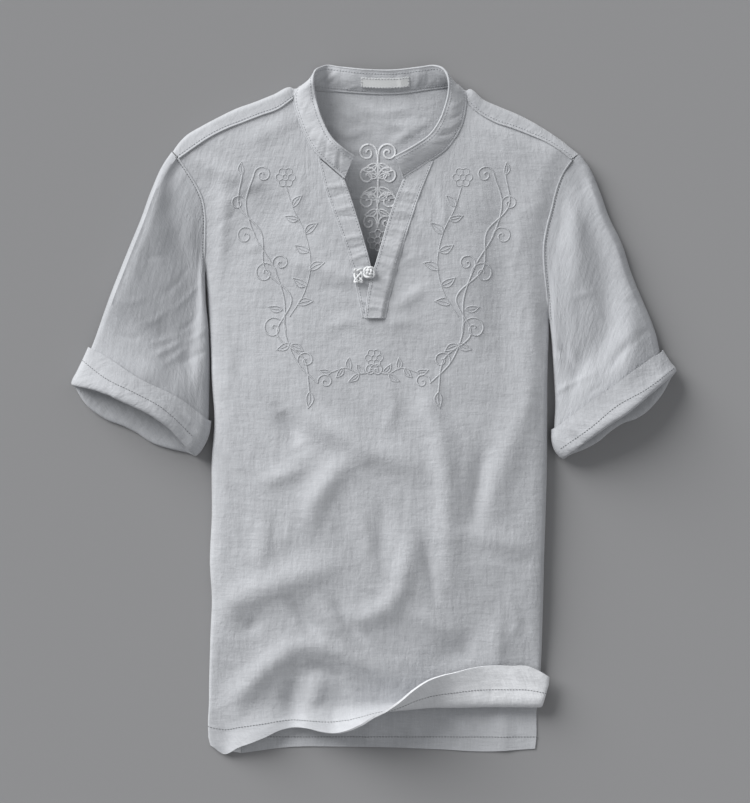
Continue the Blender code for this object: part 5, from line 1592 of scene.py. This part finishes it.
def motif(plan):
    lines = [(np.array(stem, float), vine["stem"]) for stem in plan.get("stems", [])]
    lines += [(scrollLine(*row), vine["scroll"]) for row in plan["scrolls"]]
    lines += [(line, vine["leaf"]) for row in plan["leaves"] for line in leafLines(*row)[:2]]
    lines += [(leafLines(*row)[2], vine["fine"] * 0.8) for row in plan["leaves"]]
    lines += [(line, vine["fine"]) for row in plan.get("blossoms", []) for line in blossomLines(*row)]
    return lines


def embroidery(tree, material, light, made):
    over = surfaceOf(made["front"][0])
    chest = motif(vine) + [(np.array(vine["twig"], float), vine["fine"])]
    small = motif(spray) + [(np.array(spray["stem"], float), vine["fine"])]
    slitFoot, neckFoot = ([(line, vine["fine"]) for line in blossomLines(*row)] for row in blossoms)
    parts = {
        "embroideryLeft": chest,
        "embroideryRight": mirrored(chest, vine["axis"]),
        "embroideryMiddle": small + mirrored(small, vine["axis"]) + slitFoot,
    }
    values = {
        "Pitch": thread["satinPitch"] * mm, "Length": 1.0 * mm, "Thick": thread["satinThick"] * mm,
        "Lean": math.radians(thread["satinLean"]), "Uneven": 0.05, "Seed": 2, "Material": material,
    }
    for name, lines in parts.items():
        laid = [(laidOn(over, flat, 0.1), reach) for flat, reach in lines]
        madeAlong(name, tree, laid, values)
    half = motif(neckVine)
    column = half + mirrored(half, neckVine["axis"]) + neckFoot
    column.append((np.array([(5, 286), (5.4, 262), (4.7, 232), (5, 204)], float), vine["stem"]))
    under = surfaceOf(made["yoke"], made["backPiece"])
    laid = [(laidOn(under, flat, 0.2), reach * 1.35) for flat, reach in column]
    # the column inside the back gets the much lighter thread: painted light on embroidery that lies in shade
    values["Material"] = light
    madeAlong("embroideryNeck", tree, laid, values)


# Materials

def weaveGroup():
    # linen: two crossed sets of threads, slubs along both, and a slow change of tone
    group = bpy.data.node_groups.new("linenWeave", "ShaderNodeTree")
    face = group.interface
    for name, kind, value in (
        ("Place", "NodeSocketVector", None),
        ("Threads per metre", "NodeSocketFloat", 2000.0),
        ("Slub", "NodeSocketFloat", 1.0),
    ):
        socket = face.new_socket(name=name, in_out="INPUT", socket_type=kind)
        if value is not None:
            socket.default_value = value
    face.new_socket(name="Tone", in_out="OUTPUT", socket_type="NodeSocketFloat")
    face.new_socket(name="Height", in_out="OUTPUT", socket_type="NodeSocketFloat")
    ins, outs = nodeOf(group, "NodeGroupInput"), nodeOf(group, "NodeGroupOutput")
    link = group.links.new

    def calc(operation, a, b=None):
        made = nodeOf(group, "ShaderNodeMath", operation=operation)
        for socket, value in zip(made.inputs, (a, b)):
            if value is None:
                continue
            if isinstance(value, (int, float)):
                socket.default_value = value
            else:
                link(value, socket)
        return made.outputs[0]

    def streaks(scaleX, scaleY, detail, offset):
        mapping = nodeOf(group, "ShaderNodeMapping")
        link(ins.outputs["Place"], mapping.inputs["Vector"])
        mapping.inputs["Scale"].default_value = (scaleX, scaleY, 1)
        mapping.inputs["Location"].default_value = (offset, offset * 0.7, 0)
        noise = nodeOf(group, "ShaderNodeTexNoise")
        noise.inputs["Scale"].default_value = 1.0
        noise.inputs["Detail"].default_value = detail
        link(mapping.outputs[0], noise.inputs["Vector"])
        return noise.outputs[0]

    place = nodeOf(group, "ShaderNodeSeparateXYZ")
    link(ins.outputs["Place"], place.inputs[0])
    threads = calc("MULTIPLY", ins.outputs["Threads per metre"], math.pi)
    warp = calc("SINE", calc("MULTIPLY", place.outputs[0], threads))
    weft = calc("SINE", calc("MULTIPLY", place.outputs[1], threads))
    across = calc("MULTIPLY", warp, weft)
    along = streaks(900, 45, 2.0, 3.1)
    over = streaks(50, 850, 2.0, 11.7)
    fine = streaks(900, 900, 2.0, 5.3)
    slow = streaks(22, 15, 2.0, 7.9)
    blotch = streaks(75, 60, 3.0, 2.3)
    down, level = streaks(150, 42, 3.0, 8.8), streaks(48, 120, 3.0, 1.4)
    crisp = streaks(330, 260, 2.0, 6.1)
    slubs = calc("ADD", calc("MULTIPLY", calc("SUBTRACT", along, 0.5), ins.outputs["Slub"]),
                  calc("MULTIPLY", calc("SUBTRACT", over, 0.5), ins.outputs["Slub"]))
    # tone about nought; heights in millimetres
    tone = calc("MULTIPLY", slubs, 0.5)
    for noise, share in ((slow, 0.5), (blotch, 0.45), (fine, 0.7)):
        tone = calc("ADD", tone, calc("MULTIPLY", calc("SUBTRACT", noise, 0.5), share))
    height = calc("ADD", calc("MULTIPLY", across, 0.02), calc("MULTIPLY", slubs, 0.09))
    for noise, share in ((fine, 0.09), (crisp, 0.3), (down, 0.8), (level, 0.8)):
        height = calc("ADD", height, calc("MULTIPLY", calc("SUBTRACT", noise, 0.5), share))
    link(tone, outs.inputs["Tone"])
    link(height, outs.inputs["Height"])
    return group


clothLooks = {"Roughness": 0.86, "Specular IOR Level": 0.25, "Sheen Weight": 0.25, "Sheen Roughness": 0.45}
threadLooks = {"Specular IOR Level": 0.4, "Sheen Weight": 0.3, "Sheen Roughness": 0.35}


def patternedMaterial(name, looks, colour, spread, toneRange, bump, distance):
    # its colour follows what is linked to the first node that is returned, its relief the second
    made = bpy.data.materials.new(name)
    made.use_nodes = True
    tree = made.node_tree
    shader = tree.nodes["Principled BSDF"]
    for key, value in looks.items():
        shader.inputs[key].default_value = value
    ramp = nodeOf(tree, "ShaderNodeMapRange")
    limits = {"From Min": toneRange[0], "From Max": toneRange[1], "To Min": 1 - spread, "To Max": 1 + spread}
    for key, value in limits.items():
        ramp.inputs[key].default_value = value
    mix = nodeOf(tree, "ShaderNodeVectorMath", operation="SCALE")
    mix.inputs[0].default_value = colour
    raised = nodeOf(tree, "ShaderNodeBump")
    raised.inputs["Strength"].default_value = bump
    raised.inputs["Distance"].default_value = distance
    joinAll(tree, (ramp, 0, mix, "Scale"), (mix, 0, shader, "Base Color"), (raised, 0, shader, "Normal"))
    return made, ramp, raised


def clothMaterial(name, weave, colour, spread=0.2, bump=1.0, slub=1.0):
    made, ramp, raised = patternedMaterial(name, clothLooks, colour, spread, (-0.5, 0.5), bump, 0.001)
    tree = made.node_tree
    spot = nodeOf(tree, "ShaderNodeUVMap", uv_map="clothUV")
    group = nodeOf(tree, "ShaderNodeGroup", node_tree=weave)
    group.inputs["Slub"].default_value = slub
    joinAll(tree, (spot, "UV", group, "Place"), (group, "Tone", ramp, "Value"))
    joinAll(tree, (group, "Height", raised, "Height"))
    return made


def threadMaterial(name, colour, rough):
    looks = {"Roughness": rough, **threadLooks}
    made, ramp, raised = patternedMaterial(name, looks, colour, 0.12, (0.3, 0.7), 0.3, 0.0002)
    tree = made.node_tree
    spot = nodeOf(tree, "ShaderNodeTexCoord")
    noise = nodeOf(tree, "ShaderNodeTexNoise")
    noise.inputs["Scale"].default_value = 900.0
    noise.inputs["Detail"].default_value = 2.0
    joinAll(tree, (spot, "Object", noise, "Vector"), (noise, 0, ramp, "Value"), (noise, 0, raised, "Height"))
    return made


def stageAndLight():
    bpy.context.scene.view_settings.view_transform = "Standard"
    bpy.ops.mesh.primitive_plane_add(size=30, location=(0, 0, 0))
    floor = bpy.context.object
    floor.name = "floor"
    paper = bpy.data.materials.new("paperGrey")
    paper.use_nodes = True
    shader = paper.node_tree.nodes["Principled BSDF"]
    shader.inputs["Roughness"].default_value = 0.9
    shader.inputs["Base Color"].default_value = (0.27, 0.27, 0.275, 1)
    floor.data.materials.append(paper)
    world = bpy.data.worlds.new("softStudio")
    bpy.context.scene.world = world
    world.use_nodes = True
    world.node_tree.nodes["Background"].inputs["Color"].default_value = (0.95, 0.97, 1.0, 1)
    world.node_tree.nodes["Background"].inputs["Strength"].default_value = 0.27
    for name, place, angle, power in (
        ("windowLight", (-2.3, 2.2, 1.3), 42.0, 4.65),
        ("fillLight", (1.9, -0.5, 1.9), 100.0, 0.62),
    ):
        lamp = bpy.data.lights.new(name, "SUN")
        lamp.angle = math.radians(angle)
        lamp.energy = power
        holder = bpy.data.objects.new(name, lamp)
        holder.location = place
        holder.rotation_euler = Vector([-c for c in place]).to_track_quat("-Z", "Y").to_euler()
        bpy.context.scene.collection.objects.link(holder)


# metres; the side is that of the picture's longer edge on the surface
eye = {"height": 3.0, "place": (0.0013, 0.0094), "pictureSide": 0.8994}


def addCamera():
    lens = bpy.data.cameras.new("camera")
    lens.sensor_width = 36.0
    lens.sensor_fit = "AUTO"
    lens.lens = 36.0 * eye["height"] / eye["pictureSide"]
    lens.clip_end = 20
    holder = bpy.data.objects.new("camera", lens)
    holder.location = (*eye["place"], eye["height"])
    bpy.context.scene.collection.objects.link(holder)
    bpy.context.scene.camera = holder


def main():
    weave = weaveGroup()
    linen = clothMaterial("linen", weave, (0.455, 0.465, 0.485))
    # the wrong side: a copy of the linen made far lighter than its right side, as painted light on the
    # turned-up hem, which faces away from the lamp
    wrongSidePaintedLight = clothMaterial("linenWrongSidePaintedLight", weave, (0.67, 0.68, 0.70))
    # a darker copy of the linen on the sleeves' outer side: painted shade on the sleeves
    sleeveLinenPaintedShade = clothMaterial("sleeveLinenPaintedShade", weave, (0.415, 0.425, 0.445))
    # the sleeves' inner side, seen on the turned-up cuffs and in the sleeve mouths: a slightly darker copy of
    # the linen, as painted shade in the mouths
    sleeveInsideLinenPaintedShade = clothMaterial("sleeveInsideLinenPaintedShade", weave, (0.445, 0.455, 0.475))
    insideLinen = clothMaterial("linenInside", weave, (0.47, 0.48, 0.50))
    bandLinen = clothMaterial("bandLinen", weave, (0.47, 0.48, 0.50))
    cotton = clothMaterial("cordCotton", weave, (0.66, 0.67, 0.68), bump=0.6)
    tape = clothMaterial("labelTape", weave, (0.78, 0.79, 0.79), spread=0.05, bump=0.2, slub=0.2)
    # real stitches of the hems, cuffs and armholes, given a near-black thread as painted shade of the groove
    # they pull into the cloth
    hemThreadPaintedShade = threadMaterial("hemThreadPaintedShade", (0.17, 0.175, 0.185), 0.7)
    seamThread = threadMaterial("seamThread", (0.40, 0.41, 0.43), 0.6)
    satin = threadMaterial("satinThread", (0.47, 0.48, 0.50), 0.45)
    # a much lighter thread for the column inside the back: painted light, as that embroidery lies in shade
    satinPaintedLight = threadMaterial("satinThreadPaintedLight", (0.74, 0.75, 0.77), 0.45)
    print("materials made")
    made = {}
    made["backPiece"], backCoarse, made["back"] = backCloth([insideLinen, linen])
    coarse = frontGrid()[0]
    made["front"] = frontCloth([linen, wrongSidePaintedLight])
    yokeCoarse = yokeGrid(2.4, -0.9)
    made["yoke"] = yokeCloth([linen, insideLinen])
    firstUpper = len(coarse) - len(front["leftArmholeRows"])
    leftEdge, rightEdge = coarse[firstUpper + 2 :, leftFold, :3], coarse[firstUpper:, rightFold, :3]
    made["leftArmhole"], made["rightArmhole"] = leftEdge, rightEdge
    leftBack = backCoarse[backCoarse[:, 0, 1] > back["armholeFeet"][0], 0]
    rightBack = backCoarse[backCoarse[:, -1, 1] > back["armholeFeet"][1], -1]
    made["sleeves"] = []
    for name, node, sizes, sign, edges in (
        ("sleeveLeft", "sleeve_left", leftSleeve, -1, (leftEdge, yokeCoarse[:, 0], leftBack)),
        ("sleeveRight", "sleeve_right", rightSleeve, 1, (rightEdge, yokeCoarse[:, -1], rightBack)),
    ):
        made["sleeves"].append(sleeveCloth(name, node, sizes, sign, edges, [sleeveInsideLinenPaintedShade, sleeveLinenPaintedShade]))
    print("body and sleeves made")
    made["collar"] = collarCloth([bandLinen, bandLinen])
    bandCloth("left", [bandLinen, bandLinen])
    bandCloth("right", [bandLinen, bandLinen])
    knotAndLoop(cotton)
    made["label"] = labelCloth(made["collar"], [tape, tape])
    print("collar, bands, cord and label made")
    stitches, rolls = stitchTree(), rollTree()
    sewing((stitches, rolls), (hemThreadPaintedShade, seamThread, linen), made)
    print("seams and stitches made")
    embroidery(stitches, satin, satinPaintedLight, made)
    print("embroidery made")
    for piece in bpy.context.scene.objects:
        if piece.type == "MESH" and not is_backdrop(piece) and piece.name not in frame["nodes"]:
            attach(piece, "root")
    stageAndLight()
    addCamera()


main()
